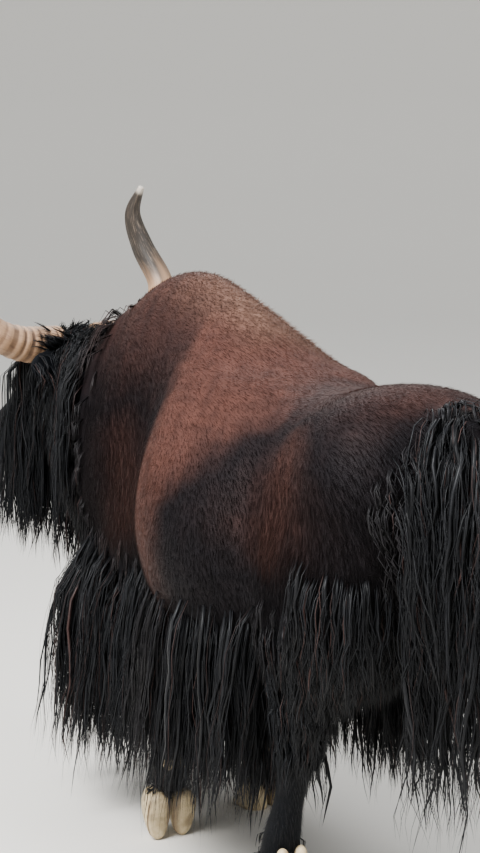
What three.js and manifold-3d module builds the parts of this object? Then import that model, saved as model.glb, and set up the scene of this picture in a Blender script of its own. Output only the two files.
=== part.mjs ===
// A life-size walking yak, still, as a museum shows it: flesh parts with a coat of flat locks, horns, hooves.
// Millimetres, +Z up. The yak faces -Y and its left side is +X. The floor is z = 0.
import * as THREE from "three";
import { mergeVertices } from "three/addons/utils/BufferGeometryUtils.js";
import Module from "manifold-3d";

const wasm = await Module();
wasm.setup();
const { Manifold, Mesh } = wasm;

// Driving dimensions: heights above the floor and places along Y.
const HUMP_HEIGHT = 1360; // top of the hump over the withers
const POLL = { x: 30, y: -730, z: 1138 }; // top of the skull between the horns
const HEAD_YAW = 15; // degrees, turned to its left
const HEAD_PITCH = 33; // degrees, face line below level
const SKIRT_HEM = 158; // the long coat of the flanks ends this far above the floor
const THROAT_HEM = 560; // the same under the throat
const TAIL_HEM = 240; // and at the tail
const ORIGIN = { x: 5, y: 30 }; // the point on the floor under the middle of the yak
const HOOF_LENGTH = 118;
const HOOF_HEIGHT = 78;
const CLAW_WIDTH = 60;
const GAP = 0.4; // between parts that meet face to face

// Small maths helpers.
const deg = THREE.MathUtils.degToRad;
const mix = THREE.MathUtils.lerp;
const vec = (x, y, z) => new THREE.Vector3(x, y, z);
const clamp01 = (t) => Math.min(1, Math.max(0, t));

// Random draws that come out the same each time.
function seeded(seed) {
  let state = seed >>> 0;
  return (low = 0, high = 1) => {
    state = (Math.imul(state, 1664525) + 1013904223) >>> 0;
    return low + ((high - low) * state) / 4294967296;
  };
}

// Smooth values between hand-set rows: row[0] is the place, the rest are interpolated by cubic curves.
function along(rows, place) {
  const last = rows.length - 1;
  const p = Math.min(rows[last][0], Math.max(rows[0][0], place));
  let i = 0;
  while (i < last - 1 && rows[i + 1][0] < p) i += 1;
  const [a, b] = [rows[i], rows[i + 1]];
  const before = rows[Math.max(0, i - 1)];
  const after = rows[Math.min(last, i + 2)];
  const span = b[0] - a[0];
  const t = (p - a[0]) / span;
  return a.slice(1).map((va, k) => {
    const vb = b[k + 1];
    const slopeA = ((vb - before[k + 1]) / (b[0] - before[0])) * span;
    const slopeB = ((after[k + 1] - va) / (after[0] - a[0])) * span;
    const [t2, t3] = [t * t, t * t * t];
    return (2 * t3 - 3 * t2 + 1) * va + (t3 - 2 * t2 + t) * slopeA + (3 * t2 - 2 * t3) * vb + (t3 - t2) * slopeB;
  });
}

// A closed solid whose skin is point(u, v): u runs once round, v from one end to the other.
// Grown moves the skin outwards along its normals.
function solid(point, around, steps, grown = 0) {
  const sphere = new THREE.SphereGeometry(1, around, steps);
  const { position, uv } = sphere.attributes;
  for (let i = 0; i < position.count; i += 1) {
    const v = 1 - uv.getY(i);
    const pole = v < 1e-6 || v > 1 - 1e-6;
    const p = point(pole ? 0 : uv.getX(i) % 1, v);
    position.setXYZ(i, p.x, p.y, p.z);
  }
  sphere.deleteAttribute("normal");
  sphere.deleteAttribute("uv");
  const shape = mergeVertices(sphere, 1e-3);
  if (signedVolume(shape) < 0) turnFaces(shape);
  if (grown > 0) {
    shape.computeVertexNormals();
    const { position: p, normal: n } = shape.attributes;
    for (let i = 0; i < p.count; i += 1) {
      p.setXYZ(i, p.getX(i) + n.getX(i) * grown, p.getY(i) + n.getY(i) * grown, p.getZ(i) + n.getZ(i) * grown);
    }
  }
  return toManifold(shape);
}

function signedVolume(shape) {
  const p = shape.attributes.position;
  const corner = (i) => vec(p.getX(i), p.getY(i), p.getZ(i));
  let sum = 0;
  for (let i = 0; i < shape.index.count; i += 3) {
    const [a, b, c] = [0, 1, 2].map((k) => corner(shape.index.getX(i + k)));
    sum += a.dot(b.cross(c)) / 6;
  }
  return sum;
}

function turnFaces(shape) {
  const index = shape.index;
  for (let i = 0; i < index.count; i += 3) {
    const second = index.getX(i + 1);
    index.setX(i + 1, index.getX(i + 2));
    index.setX(i + 2, second);
  }
}

function toManifold(shape) {
  return new Manifold(
    new Mesh({
      numProp: 3,
      vertProperties: new Float32Array(shape.attributes.position.array),
      triVerts: new Uint32Array(shape.index.array),
    }),
  );
}

const join = (pieces) => Manifold.union(pieces);

function largest(body) {
  return body.decompose().reduce((a, b) => (b.volume() > a.volume() ? b : a));
}

// A rounded end: 0 at the tip, 1 once past the share of the length that the cap takes.
const cap = (t, share) => Math.sqrt(1 - (1 - Math.min(1, Math.max(0, t / share))) ** 2);

// A tube of oval section along a curved path. Rows are place, x, y, z, half width, half depth.
// The width lies along side, the depth across it.
function limb(rows, { side = vec(1, 0, 0), around = 12, steps = 10, caps = [0.15, 0.15] } = {}) {
  const [first, last] = [rows[0][0], rows[rows.length - 1][0]];
  const centre = (v) => {
    const [x, y, z] = along(rows, mix(first, last, v));
    return vec(x, y, z);
  };
  return {
    around,
    steps,
    point: (u, v) => {
      const t = (1 - Math.cos(Math.PI * v)) / 2;
      const place = mix(t, v, 0.6);
      const [x, y, z, width, depth] = along(rows, mix(first, last, place));
      const ahead = centre(Math.min(1, place + 0.02)).sub(centre(Math.max(0, place - 0.02))).normalize();
      const across = ahead.clone().cross(side).normalize();
      const wide = across.clone().cross(ahead).normalize();
      const round = Math.min(cap(place, caps[0]), cap(1 - place, caps[1]));
      const angle = 2 * Math.PI * u;
      return vec(x, y, z)
        .addScaledVector(wide, width * round * Math.cos(angle))
        .addScaledVector(across, depth * round * Math.sin(angle));
    },
  };
}

const limbSolid = (shape, grown = 0) => solid(shape.point, shape.around, shape.steps, grown);

// An egg section: widest at the share `wide` of the way down, with a sharper or rounder ridge on top.
function eggSection(top, bottom, halfWidth, wide, ridge, angle) {
  const s = (1 - Math.cos(angle)) / 2;
  return { across: eggWidth(halfWidth, wide, ridge, s) * Math.sign(Math.sin(angle) || 1), up: mix(top, bottom, s) };
}

function eggWidth(halfWidth, wide, ridge, s) {
  const bend = Math.log(0.5) / Math.log(wide);
  const power = mix(ridge, 0.5, s);
  return halfWidth * Math.max(0, Math.sin(Math.PI * Math.min(1, s) ** bend)) ** power;
}

// Torso: hump, barrel, flank and croup. Rows are y, top, bottom, half width, widest share, ridge.
const TORSO = [
  [-490, 1130, 640, 150, 0.55, 0.5],
  [-380, 1256, 520, 192, 0.56, 0.48],
  [-260, 1322, 488, 222, 0.57, 0.46],
  [-160, 1350, 476, 234, 0.58, 0.45],
  [-60, HUMP_HEIGHT, 468, 240, 0.6, 0.45],
  [40, 1343, 460, 250, 0.6, 0.46],
  [100, 1321, 454, 274, 0.59, 0.48],
  [160, 1294, 450, 311, 0.57, 0.5],
  [220, 1262, 446, 339, 0.55, 0.52],
  [300, 1214, 440, 356, 0.53, 0.53],
  [380, 1176, 440, 362, 0.52, 0.53],
  [480, 1142, 448, 348, 0.5, 0.54],
  [570, 1134, 470, 302, 0.47, 0.54],
  [640, 1145, 505, 262, 0.44, 0.54],
  [720, 1164, 540, 258, 0.4, 0.55],
  [800, 1172, 585, 262, 0.36, 0.56],
  [880, 1156, 640, 252, 0.36, 0.56],
  [960, 1110, 710, 212, 0.4, 0.55],
  [1035, 1035, 780, 155, 0.5, 0.55],
];
const TORSO_CAPS = [0.07, 0.06];

function torsoPoint(u, v) {
  const [first, last] = [TORSO[0][0], TORSO[TORSO.length - 1][0]];
  const t = mix((1 - Math.cos(Math.PI * v)) / 2, v, 0.55);
  const y = mix(first, last, t);
  const [top, bottom, halfWidth, wide, ridge] = along(TORSO, y);
  const round = Math.min(cap(t, TORSO_CAPS[0]), cap(1 - t, TORSO_CAPS[1]));
  const middle = mix(top, bottom, 0.45);
  const section = eggSection(top, bottom, halfWidth, wide, ridge, 2 * Math.PI * u);
  return vec(section.across * round, y, mix(middle, section.up, round));
}

const torsoSolid = (grown = 0) => solid(torsoPoint, 22, 22, grown);

// Half width of the torso at a height, at a place along it.
function torsoSide(y, z) {
  const [top, bottom, halfWidth, wide, ridge] = along(TORSO, y);
  return eggWidth(halfWidth, wide, ridge, clamp01((top - z) / (top - bottom)));
}

// One flat lock of the long coat. It leaves the root along `lie`, bends towards `hang`, tapers to its tip,
// and its flat side faces along `face`. A grown lock has its edges further out than its faces, as it is thin.
const LOCK_SIDES = 4;
const LOCK_STEPS = 4;
const LOCK_SUNK = 14; // how deep a root starts inside what it grows from
const PATH_PIECES = 8;

function lock({ root, lie, hang, face, length, width, thick, bend, wave }, grown = 0) {
  const path = [];
  let place = root.clone().addScaledVector(lie, -LOCK_SUNK);
  const swing = face.clone().cross(hang).normalize();
  for (let i = 0; i <= PATH_PIECES; i += 1) {
    path.push(place.clone());
    const t = i / PATH_PIECES;
    const way = lie.clone().lerp(hang, clamp01(t / bend)).normalize();
    way.addScaledVector(swing, wave * Math.sin(t * 2 * Math.PI)).normalize();
    place = place.clone().addScaledVector(way, (length + LOCK_SUNK) / PATH_PIECES);
  }
  const curve = new THREE.CatmullRomCurve3(path);
  const edgeGrown = (grown * Math.hypot(width, thick)) / thick;
  const faceGrown = (grown * Math.hypot(width, thick)) / width;
  const point = (u, v) => {
    const centre = curve.getPoint(v);
    const ahead = curve.getTangent(v);
    if (v <= 0) return centre.addScaledVector(ahead, -2 * edgeGrown);
    if (v >= 1) return centre.addScaledVector(ahead, 2 * edgeGrown);
    const wide = ahead.clone().cross(face).normalize();
    const flat = wide.clone().cross(ahead).normalize();
    const taper = Math.min(1, 0.6 + 1.6 * v) * (1 - v ** 3.2) ** 0.9;
    const angle = 2 * Math.PI * u;
    return centre
      .addScaledVector(wide, ((width / 2) * taper + edgeGrown) * Math.cos(angle))
      .addScaledVector(flat, ((thick / 2) * taper + faceGrown) * Math.sin(angle));
  };
  return solid(point, LOCK_SIDES, LOCK_STEPS);
}

// Head: its own frame, with F from the poll to the muzzle, L to the left and U up from the face line.
const head = (() => {
  const turn = new THREE.Matrix4()
    .makeRotationZ(deg(HEAD_YAW))
    .multiply(new THREE.Matrix4().makeRotationX(deg(HEAD_PITCH)));
  const F = vec(0, -1, 0).applyMatrix4(turn);
  const U = vec(0, 0, 1).applyMatrix4(turn);
  const L = vec(1, 0, 0).applyMatrix4(turn);
  const at = (f, l, u) => vec(POLL.x, POLL.y, POLL.z).addScaledVector(F, f).addScaledVector(L, l).addScaledVector(U, u);
  return { F, L, U, at };
})();

// Rows are f, top, bottom, half width, widest share, ridge.
const SKULL = [
  [-75, -14, -190, 92, 0.4, 0.5],
  [-20, 0, -208, 106, 0.38, 0.46],
  [50, 5, -218, 112, 0.36, 0.44],
  [130, 2, -222, 114, 0.34, 0.42],
  [190, -6, -220, 106, 0.36, 0.42],
  [255, -18, -202, 90, 0.42, 0.43],
  [320, -26, -184, 80, 0.46, 0.42],
  [390, -28, -172, 80, 0.46, 0.4],
  [445, -30, -166, 84, 0.46, 0.38],
  [515, -44, -148, 74, 0.48, 0.38],
];
const SKULL_CAPS = [0.14, 0.07];

function skullPoint(u, v) {
  const t = mix((1 - Math.cos(Math.PI * v)) / 2, v, 0.45);
  const f = mix(SKULL[0][0], SKULL[SKULL.length - 1][0], t);
  const [top, bottom, halfWidth, wide, ridge] = along(SKULL, f);
  const round = Math.min(cap(t, SKULL_CAPS[0]), cap(1 - t, SKULL_CAPS[1]));
  const section = eggSection(top, bottom, halfWidth, wide, ridge, 2 * Math.PI * u);
  return head.at(f, section.across * round, mix(mix(top, bottom, 0.5), section.up, round));
}

// An ellipsoid at a place in the head's frame, with half sizes along F, L and U, pitched about L.
function headBall(f, l, u, sizes, { pitch = 0, yaw = 0, around = 10, steps = 6 } = {}, grown = 0) {
  const spin = new THREE.Euler(0, deg(pitch), deg(yaw), "ZYX");
  const point = (a, v) => {
    const ring = Math.sin(Math.PI * v);
    const local = vec(
      sizes[0] * Math.cos(Math.PI * v),
      sizes[1] * ring * Math.cos(2 * Math.PI * a),
      sizes[2] * ring * Math.sin(2 * Math.PI * a),
    ).applyEuler(spin);
    return head.at(f + local.x, l + local.y, u + local.z);
  };
  return solid(point, around, steps, grown);
}

const EYE = { f: 178, l: 93, u: -52, radius: 19 };

function skullSolid(grown = 0) {
  const pieces = [solid(skullPoint, 16, 15, grown)];
  for (const s of [1, -1]) {
    pieces.push(headBall(EYE.f, s * (EYE.l - 3), EYE.u, [34, 24, 29], { around: 8, steps: 5 }, grown));
    pieces.push(headBall(EYE.f - 6, s * (EYE.l - 6), EYE.u + 22, [44, 19, 14], { pitch: 6, around: 6, steps: 4 }, grown));
    pieces.push(headBall(478, s * 44, -78, [32, 24, 24], { yaw: s * 14, around: 8, steps: 4 }, grown));
    pieces.push(headBall(452, s * 50, -124, [46, 28, 22], { around: 6, steps: 4 }, grown));
  }
  pieces.push(headBall(462, 0, -148, [44, 52, 24], { pitch: -4, around: 8, steps: 5 }, grown));
  return join(pieces);
}

function headCuts() {
  const cuts = [];
  for (const s of [1, -1]) {
    cuts.push(headBall(EYE.f, s * (EYE.l + 21), EYE.u, [22, 16, 12], { pitch: 8, around: 8, steps: 5 }));
    cuts.push(headBall(508, s * 50, -82, [18, 13, 9], { yaw: s * 35, pitch: 25, around: 6, steps: 4 }));
    cuts.push(headBall(436, s * 74, -132, [92, 20, 2.6], { pitch: 4, yaw: s * -4, around: 6, steps: 4 }));
  }
  cuts.push(headBall(516, 0, -134, [30, 76, 2.6], { around: 8, steps: 5 }));
  return cuts;
}

// Horns: out to the side, up and forward, with the tips turned back. Rows are place, forward, out, up, radius.
const HORN = [
  [0, -4, 62, -24, 52],
  [0.12, -4, 112, -20, 51],
  [0.28, -2, 200, -8, 46],
  [0.45, 6, 284, 32, 41],
  [0.62, 34, 338, 116, 36],
  [0.78, 92, 322, 222, 27],
  [0.9, 104, 296, 312, 17],
  [1, 66, 286, 388, 3],
];
const HORN_RINGS = 6;
const HORN_RINGS_END = 0.42;

function hornSolid(s, grown = 0) {
  // The rows are level with the floor, turned only by the head's yaw, so both horns rise as they do on a level head.
  const ahead = vec(0, -1, 0).applyAxisAngle(vec(0, 0, 1), deg(HEAD_YAW));
  const left = vec(1, 0, 0).applyAxisAngle(vec(0, 0, 1), deg(HEAD_YAW));
  const at = ([f, l, u]) =>
    vec(POLL.x, POLL.y, POLL.z).addScaledVector(ahead, f).addScaledVector(left, s * l).addScaledVector(vec(0, 0, 1), u);
  const point = (a, v) => {
    const t = Math.min(0.999, Math.max(0, v));
    const row = along(HORN, t);
    const way = at(along(HORN, Math.min(1, t + 0.01))).sub(at(along(HORN, Math.max(0, t - 0.01)))).normalize();
    const one = way.clone().cross(vec(0, 1, 0.3)).normalize();
    const two = one.clone().cross(way).normalize();
    const ringed = t < HORN_RINGS_END ? 0.055 * Math.cos(2 * Math.PI * HORN_RINGS * (t / HORN_RINGS_END)) : 0;
    const radius = row[3] * (1 + ringed) * cap(t + 0.004, 0.03);
    return at(row)
      .addScaledVector(one, radius * Math.cos(2 * Math.PI * a))
      .addScaledVector(two, radius * Math.sin(2 * Math.PI * a));
  };
  return solid(point, 8, 26, grown);
}

// Ears: a cupped leaf that points out, back and a little down.
function earSolid(s, grown = 0) {
  const leaf = (length, wide, thick, f, l, u) =>
    headBall(f, s * l, u, [length, thick, wide], { yaw: s * 108, pitch: 6, around: 10, steps: 6 }, grown);
  const outer = leaf(96, 42, 18, -44, 164, -92);
  if (grown) return outer;
  const scoop = headBall(-27, s * 174, -92, [74, 14, 31], { yaw: s * 108, pitch: 6, around: 8, steps: 5 });
  return outer.subtract(scoop);
}

const eyeSolid = (s, grown = 0) =>
  headBall(EYE.f, s * EYE.l, EYE.u, [EYE.radius, EYE.radius, EYE.radius], { around: 10, steps: 6 }, grown);

// Neck: from inside the shoulders to behind the skull. Rows are place, x, y, z, half width, half depth.
const NECK_ROWS = [
  [0, 0, -330, 915, 205, 372],
  [0.3, 2, -450, 918, 184, 316],
  [0.58, 10, -560, 944, 156, 250],
  [0.82, 22, -660, 985, 130, 176],
  [1, 34, -745, 1010, 112, 136],
];
const NECK = limb(NECK_ROWS, { around: 16, steps: 8, caps: [0.12, 0.14] });

// Legs. Rows are place, x, y, z, half width, half depth; s mirrors them to the right side.
function legRows(s, rows) {
  return rows.map(([t, x, y, z, w, d]) => [t, s * x, y, z, w, d]);
}

const UPPER = {
  front_left: [
    [0, 126, -250, 960, 50, 100],
    [0.25, 144, -225, 830, 58, 136],
    [0.5, 154, -165, 690, 58, 108],
    [0.75, 166, -95, 560, 54, 74],
    [1, 172, -50, 395, 46, 50],
  ],
  front_right: [
    [0, 126, -250, 960, 50, 100],
    [0.25, 144, -225, 830, 58, 136],
    [0.5, 156, -170, 690, 58, 108],
    [0.75, 170, -110, 560, 54, 74],
    [1, 178, -62, 385, 46, 50],
  ],
  hind_left: [
    [0, 96, 800, 1080, 60, 130],
    [0.22, 134, 790, 960, 88, 195],
    [0.45, 178, 752, 820, 102, 198],
    [0.66, 190, 718, 680, 82, 146],
    [0.84, 192, 706, 545, 58, 88],
    [1, 192, 700, 430, 43, 56],
  ],
  hind_right: [
    [0, 96, 830, 1060, 60, 120],
    [0.22, 134, 830, 940, 86, 175],
    [0.45, 178, 830, 820, 100, 186],
    [0.66, 188, 870, 680, 80, 140],
    [0.84, 188, 938, 545, 57, 84],
    [1, 188, 985, 430, 43, 56],
  ],
};

const LOWER = {
  front_left: [
    [0, 172, -52, 415, 41, 44],
    [0.12, 171, -40, 378, 46, 48],
    [0.35, 164, -2, 300, 34, 36],
    [0.62, 156, 42, 222, 41, 43],
    [0.82, 151, 42, 170, 45, 42],
    [1, 150, 26, 118, 52, 42],
  ],
  front_right: [
    [0, 178, -66, 410, 41, 44],
    [0.12, 178, -62, 372, 46, 48],
    [0.38, 176, -48, 275, 34, 36],
    [0.64, 174, -38, 190, 43, 46],
    [0.82, 172, -52, 128, 46, 46],
    [1, 170, -74, 66, 56, 54],
  ],
  hind_left: [
    [0, 192, 700, 450, 38, 48],
    [0.14, 192, 692, 400, 42, 54],
    [0.4, 191, 658, 290, 35, 38],
    [0.66, 190, 624, 188, 44, 46],
    [0.83, 190, 606, 126, 46, 46],
    [1, 190, 584, 66, 56, 54],
  ],
  hind_right: [
    [0, 188, 985, 450, 38, 48],
    [0.14, 188, 992, 402, 42, 54],
    [0.4, 186, 978, 290, 35, 38],
    [0.66, 184, 965, 188, 44, 46],
    [0.83, 183, 948, 126, 46, 46],
    [1, 182, 924, 66, 56, 54],
  ],
};

const FOOT = {
  front_left: { x: 150, y: 40, heelUp: 80 },
  front_right: { x: 170, y: -84, heelUp: 0 },
  hind_left: { x: 190, y: 574, heelUp: 0 },
  hind_right: { x: 182, y: 914, heelUp: 0 },
};

// Hooves: two claws, side by side. Rows are place along the sole from toe to heel, half width,
// share of the hoof's height.
const CLAW = [
  [0, 14, 0.2],
  [0.16, 23, 0.56],
  [0.38, 30, 0.92],
  [0.6, 31, 0.95],
  [0.82, 29, 0.77],
  [1, 22, 0.56],
];
const CLAW_BOW = 2; // how far the outer wall bows
const CLAW_DRAFT = 0.12; // the wall draws in towards the coronet by this share
const CLAW_LEAN = 18; // the coronet lies this far behind the toe
const SOLE_ROUND = 14; // the sole's roundness, which the floor cuts flat

function clawSolid(s, foot, inner, grown = 0) {
  const { x, y, heelUp } = FOOT[foot];
  const across = inner * (CLAW_WIDTH / 2 + 3.5);
  const tilt = new THREE.Matrix4().makeRotationX(deg(heelUp));
  const raised = heelUp > 0;
  const point = (a, v) => {
    const t = mix((1 - Math.cos(Math.PI * v)) / 2, v, 0.3);
    const [halfWidth, height] = along(CLAW, t);
    const round = Math.min(cap(t, 0.16), cap(1 - t, 0.2));
    const angle = 2 * Math.PI * a;
    const up = Math.sin(angle);
    const bow = inner * CLAW_BOW * Math.sin(Math.PI * t);
    const p = vec(
      across + bow + halfWidth * round * Math.cos(angle) * (up > 0 ? 1 - CLAW_DRAFT * up : 1),
      (t - 0.5) * HOOF_LENGTH,
      up > 0 ? height * HOOF_HEIGHT * round * up : SOLE_ROUND * round * up,
    );
    p.y += (p.z / HOOF_HEIGHT) * CLAW_LEAN;
    return raised ? p.applyMatrix4(tilt) : p;
  };
  // A raised foot stands on the point of its toe, pressed flat.
  const lift = raised ? HOOF_LENGTH / 2 * Math.sin(deg(heelUp)) + 1 : 0;
  const placed = (a, v) => point(a, v).add(vec(s * x, y, lift));
  return solid(placed, 12, 7, grown).trimByPlane([0, 0, 1], 0);
}

// Dewclaws: two small horn buttons behind each fetlock.
function dewclawSolid(s, foot, inner, grown = 0) {
  const rows = LOWER[foot];
  const [, x, y, z, , depth] = rows[rows.length - 3];
  const centre = vec(s * x + inner * 22, y + depth * 0.92, z - 22);
  const point = (a, v) => {
    const ring = Math.sin(Math.PI * v);
    const [wide, deep, tall] = [13 * ring * Math.cos(2 * Math.PI * a), 15 * ring * Math.sin(2 * Math.PI * a), 17];
    return centre.clone().add(vec(wide, deep, tall * Math.cos(Math.PI * v)));
  };
  return solid(point, 6, 4, grown);
}

// Coat. Each set of locks is worked out by a loop over rows of roots.
const DOWN = vec(0, 0, -1);

// Height of the hem of the skirt at a place along the body.
const HEM = [
  [-320, SKIRT_HEM - 8],
  [0, SKIRT_HEM],
  [220, SKIRT_HEM + 15],
  [450, SKIRT_HEM + 40],
  [600, SKIRT_HEM + 85],
];

// The core is a band round the barrel: from and to along the body, its top edge and bottom, how far it stands
// out from the torso, and the inner edge, which slants in towards the shoulder.
const SKIRT = { from: -300, to: 590, top: 655, bottom: 585, depth: 34, inside: 196, slant: 0.12 };
// Rows of locks: height of the roots, first and last place, how many, how far they stand out.
const SKIRT_ROWS = [
  [634, -318, 590, 11, 0.45],
  [606, 0, 575, 7, 0.05],
];

function skirtSolid(s, grown = 0) {
  const draw = seeded(s > 0 ? 11 : 12);
  const topSlope = vec(-s * 0.8, 0, -0.6);
  const inner = vec(s, -SKIRT.slant, 0);
  const innerPlace = SKIRT.inside - SKIRT.slant * SKIRT.to;
  const core = torsoSolid(SKIRT.depth + grown)
    .trimByPlane(inner.toArray(), innerPlace / inner.length())
    .trimByPlane([0, 1, 0], SKIRT.from - grown)
    .trimByPlane([0, -1, 0], -SKIRT.to - grown)
    .trimByPlane([0, 0, 1], SKIRT.bottom - grown)
    .trimByPlane(topSlope.toArray(), topSlope.dot(vec(s * 362, 0, SKIRT.top)) - grown);
  const locks = [];
  for (const [rootZ, from, to, count, out] of SKIRT_ROWS) {
    for (let i = 0; i < count; i += 1) {
      const y = mix(from + 30, to - 30, (i + draw(0.25, 0.75)) / count);
      const z = rootZ + draw(-10, 10);
      const [hem] = along(HEM, y);
      const inside = innerPlace + SKIRT.slant * y + 20;
      locks.push({
        root: vec(s * Math.max(inside, torsoSide(y, z) + (out > 0.2 ? 20 : 6)), y, z),
        lie: vec(s * (out + draw(-0.08, 0.1)), draw(-0.12, 0.2), -1).normalize(),
        hang: vec(s * draw(-0.04, 0.06), draw(-0.06, 0.1), -1).normalize(),
        face: vec(s, draw(-0.4, 0.4), 0).normalize(),
        length: Math.max(120, z - hem - draw(-24, 30)),
        width: draw(104, 128),
        thick: draw(32, 42),
        bend: draw(0.2, 0.32),
        wave: draw(-0.16, 0.16),
      });
    }
  }
  return join([core, ...locks.map((l) => lock(l, grown))]);
}

// Chest coat: a fringe round the brisket, between the forelegs and the throat.
const CHEST = { y: -335, z: 602, wide: 212, deep: 166, high: 108, behind: -306 };
// Rows of locks: share of the core's radius, height of the roots, how many.
const CHEST_ROWS = [
  [0.93, 640, 9],
  [0.74, 560, 6],
];

function chestSolid(grown = 0) {
  const draw = seeded(21);
  const core = solid(
    (a, v) => {
      const ring = Math.sin(Math.PI * v);
      const angle = 2 * Math.PI * a;
      return vec(
        CHEST.wide * ring * Math.cos(angle),
        CHEST.y + CHEST.deep * ring * Math.sin(angle),
        CHEST.z + CHEST.high * Math.cos(Math.PI * v),
      );
    },
    14,
    7,
    grown,
  ).trimByPlane([0, -1, 0], -CHEST.behind - grown);
  const locks = [];
  for (const [share, rootZ, count] of CHEST_ROWS) {
    for (let i = 0; i < count; i += 1) {
      const angle = deg(mix(-84, 84, (i + draw(0.3, 0.7)) / count));
      const out = vec(Math.sin(angle), -Math.cos(angle), 0);
      const root = vec(out.x * CHEST.wide * share, CHEST.y + out.y * CHEST.deep * share + 12, rootZ + draw(-12, 12));
      const flare = draw(0.04, 0.16) * share;
      locks.push({
        root,
        lie: vec(out.x * 0.85, out.y * 0.85, -1).normalize(),
        hang: vec(out.x * flare, out.y * flare, -1).normalize(),
        face: out,
        length: (root.z - (SKIRT_HEM + 70 * Math.cos(angle) ** 2 + draw(-20, 34))) * 1.06,
        width: draw(100, 122),
        thick: draw(32, 42),
        bend: draw(0.35, 0.5),
        wave: draw(-0.14, 0.14),
      });
    }
  }
  return join([core, ...locks.map((l) => lock(l, grown))]);
}

// Neck, with the hair of the throat hanging level below it.
function neckSolid(grown = 0) {
  const draw = seeded(31);
  const locks = [];
  for (const s of [1, -1]) {
    for (const [drop, count] of [
      [0.3, 3],
      [0.75, 2],
    ]) {
      for (let i = 0; i < count; i += 1) {
        const t = mix(0.4, 0.86, (i + draw(0.35, 0.65)) / count);
        const [x, y, z, wide, tall] = along(NECK_ROWS, t);
        const out = Math.sqrt(1 - drop * drop);
        const root = vec(x + s * wide * out * 0.95, y, z - tall * drop);
        locks.push({
          root,
          lie: vec(s * 0.6, draw(-0.1, 0.3), -1).normalize(),
          hang: vec(s * draw(-0.12, 0), draw(0, 0.12), -1).normalize(),
          face: vec(s, -0.2, 0).normalize(),
          length: Math.max(130, root.z - THROAT_HEM - draw(-20, 35)),
          width: draw(104, 122),
          thick: draw(30, 38),
          bend: 0.35,
          wave: draw(-0.14, 0.14),
        });
      }
    }
  }
  return join([limbSolid(NECK, grown), ...locks.map((l) => lock(l, grown))]);
}

// Head, with forelock, cheek hair and beard.
function headSolid(grown = 0) {
  const draw = seeded(41);
  const locks = [];
  const flat = (v) => v.clone().setZ(0).normalize();
  for (const s of [1, -1]) {
    const out = flat(head.L).multiplyScalar(s);
    for (let i = 0; i < 5; i += 1) {
      const f = mix(20, 310, (i + draw(0.35, 0.65)) / 5);
      const [, bottom, halfWidth] = along(SKULL, f);
      const root = head.at(f, s * halfWidth * 0.72, bottom + 34);
      locks.push({
        root,
        lie: DOWN.clone().addScaledVector(out, 0.45).normalize(),
        hang: DOWN.clone().addScaledVector(out, draw(-0.14, 0)).normalize(),
        face: out,
        length: Math.max(110, root.z - mix(555, 640, clamp01((f - 60) / 240)) - draw(-20, 25)),
        width: draw(78, 92),
        thick: draw(26, 32),
        bend: 0.35,
        wave: draw(-0.14, 0.14),
      });
    }
    for (let i = 0; i < 2; i += 1) {
      const f = mix(-30, 110, (i + draw(0.35, 0.65)) / 2);
      const [top, bottom, halfWidth] = along(SKULL, f);
      locks.push({
        root: head.at(f, s * halfWidth * 0.96, mix(top, bottom, 0.5)),
        lie: DOWN.clone().addScaledVector(out, 0.5).normalize(),
        hang: DOWN.clone().addScaledVector(out, 0.05).normalize(),
        face: out,
        length: draw(170, 220),
        width: draw(72, 90),
        thick: draw(20, 26),
        bend: 0.4,
        wave: draw(-0.14, 0.14),
      });
    }
  }
  for (let i = 0; i < 5; i += 1) {
    const l = mix(-66, 66, (i + 0.5) / 5);
    const reach = draw(110, 165);
    locks.push({
      root: head.at(draw(-35, 20), l, -6),
      lie: head.F.clone().addScaledVector(head.U, 0.75).addScaledVector(head.L, l / 160).normalize(),
      hang: head.F.clone().addScaledVector(head.U, -0.1).addScaledVector(head.L, l / 220).normalize(),
      face: head.U,
      length: reach,
      width: draw(42, 54),
      thick: draw(16, 20),
      bend: 0.6,
      wave: draw(-0.2, 0.2),
    });
  }
  const body = join([skullSolid(grown), ...locks.map((l) => lock(l, grown))]);
  return headCuts().reduce((rest, cut) => rest.subtract(cut), body);
}

// Tail: a dock that leaves the croup and falls, bushy with hair from its root.
const TAIL_ROWS = [
  [0, 0, 880, 1082, 56, 50],
  [0.2, 0, 985, 1086, 56, 52],
  [0.42, 3, 1060, 1010, 52, 50],
  [0.7, 8, 1090, 850, 42, 42],
  [1, 8, 1084, 690, 24, 24],
];
const TAIL = limb(TAIL_ROWS, { around: 12, steps: 10, caps: [0.1, 0.1] });
// Rings of locks: place along the dock, how many, how far round they go.
const TAIL_RINGS = [
  [0.36, 3, 90],
  [0.6, 4, 140],
  [0.9, 6, 180],
];

function tailSolid(grown = 0) {
  const draw = seeded(51);
  const locks = [];
  for (const [t, count, spread] of TAIL_RINGS) {
    const [x, y, z, wide, deep] = along(TAIL_ROWS, t);
    for (let i = 0; i < count; i += 1) {
      const angle = mix(-spread, spread, (i + draw(0.3, 0.7)) / count);
      const out = vec(Math.sin(deg(angle)), Math.cos(deg(angle)), 0);
      const root = vec(x + out.x * wide * 0.8, y + out.y * deep * 0.8, z + draw(-20, 20));
      locks.push({
        root,
        lie: vec(out.x * 0.6, out.y * 0.5, -1).normalize(),
        hang: vec(out.x * draw(-0.04, 0.06), out.y * draw(-0.08, 0.02), -1).normalize(),
        face: out,
        length: t > 0.6 ? root.z - TAIL_HEM - draw(-20, 70) : draw(340, 440),
        width: draw(88, 108),
        thick: draw(34, 44),
        bend: 0.3,
        wave: draw(-0.14, 0.14),
      });
    }
  }
  return join([limbSolid(TAIL, grown), ...locks.map((l) => lock(l, grown))]);
}

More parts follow.
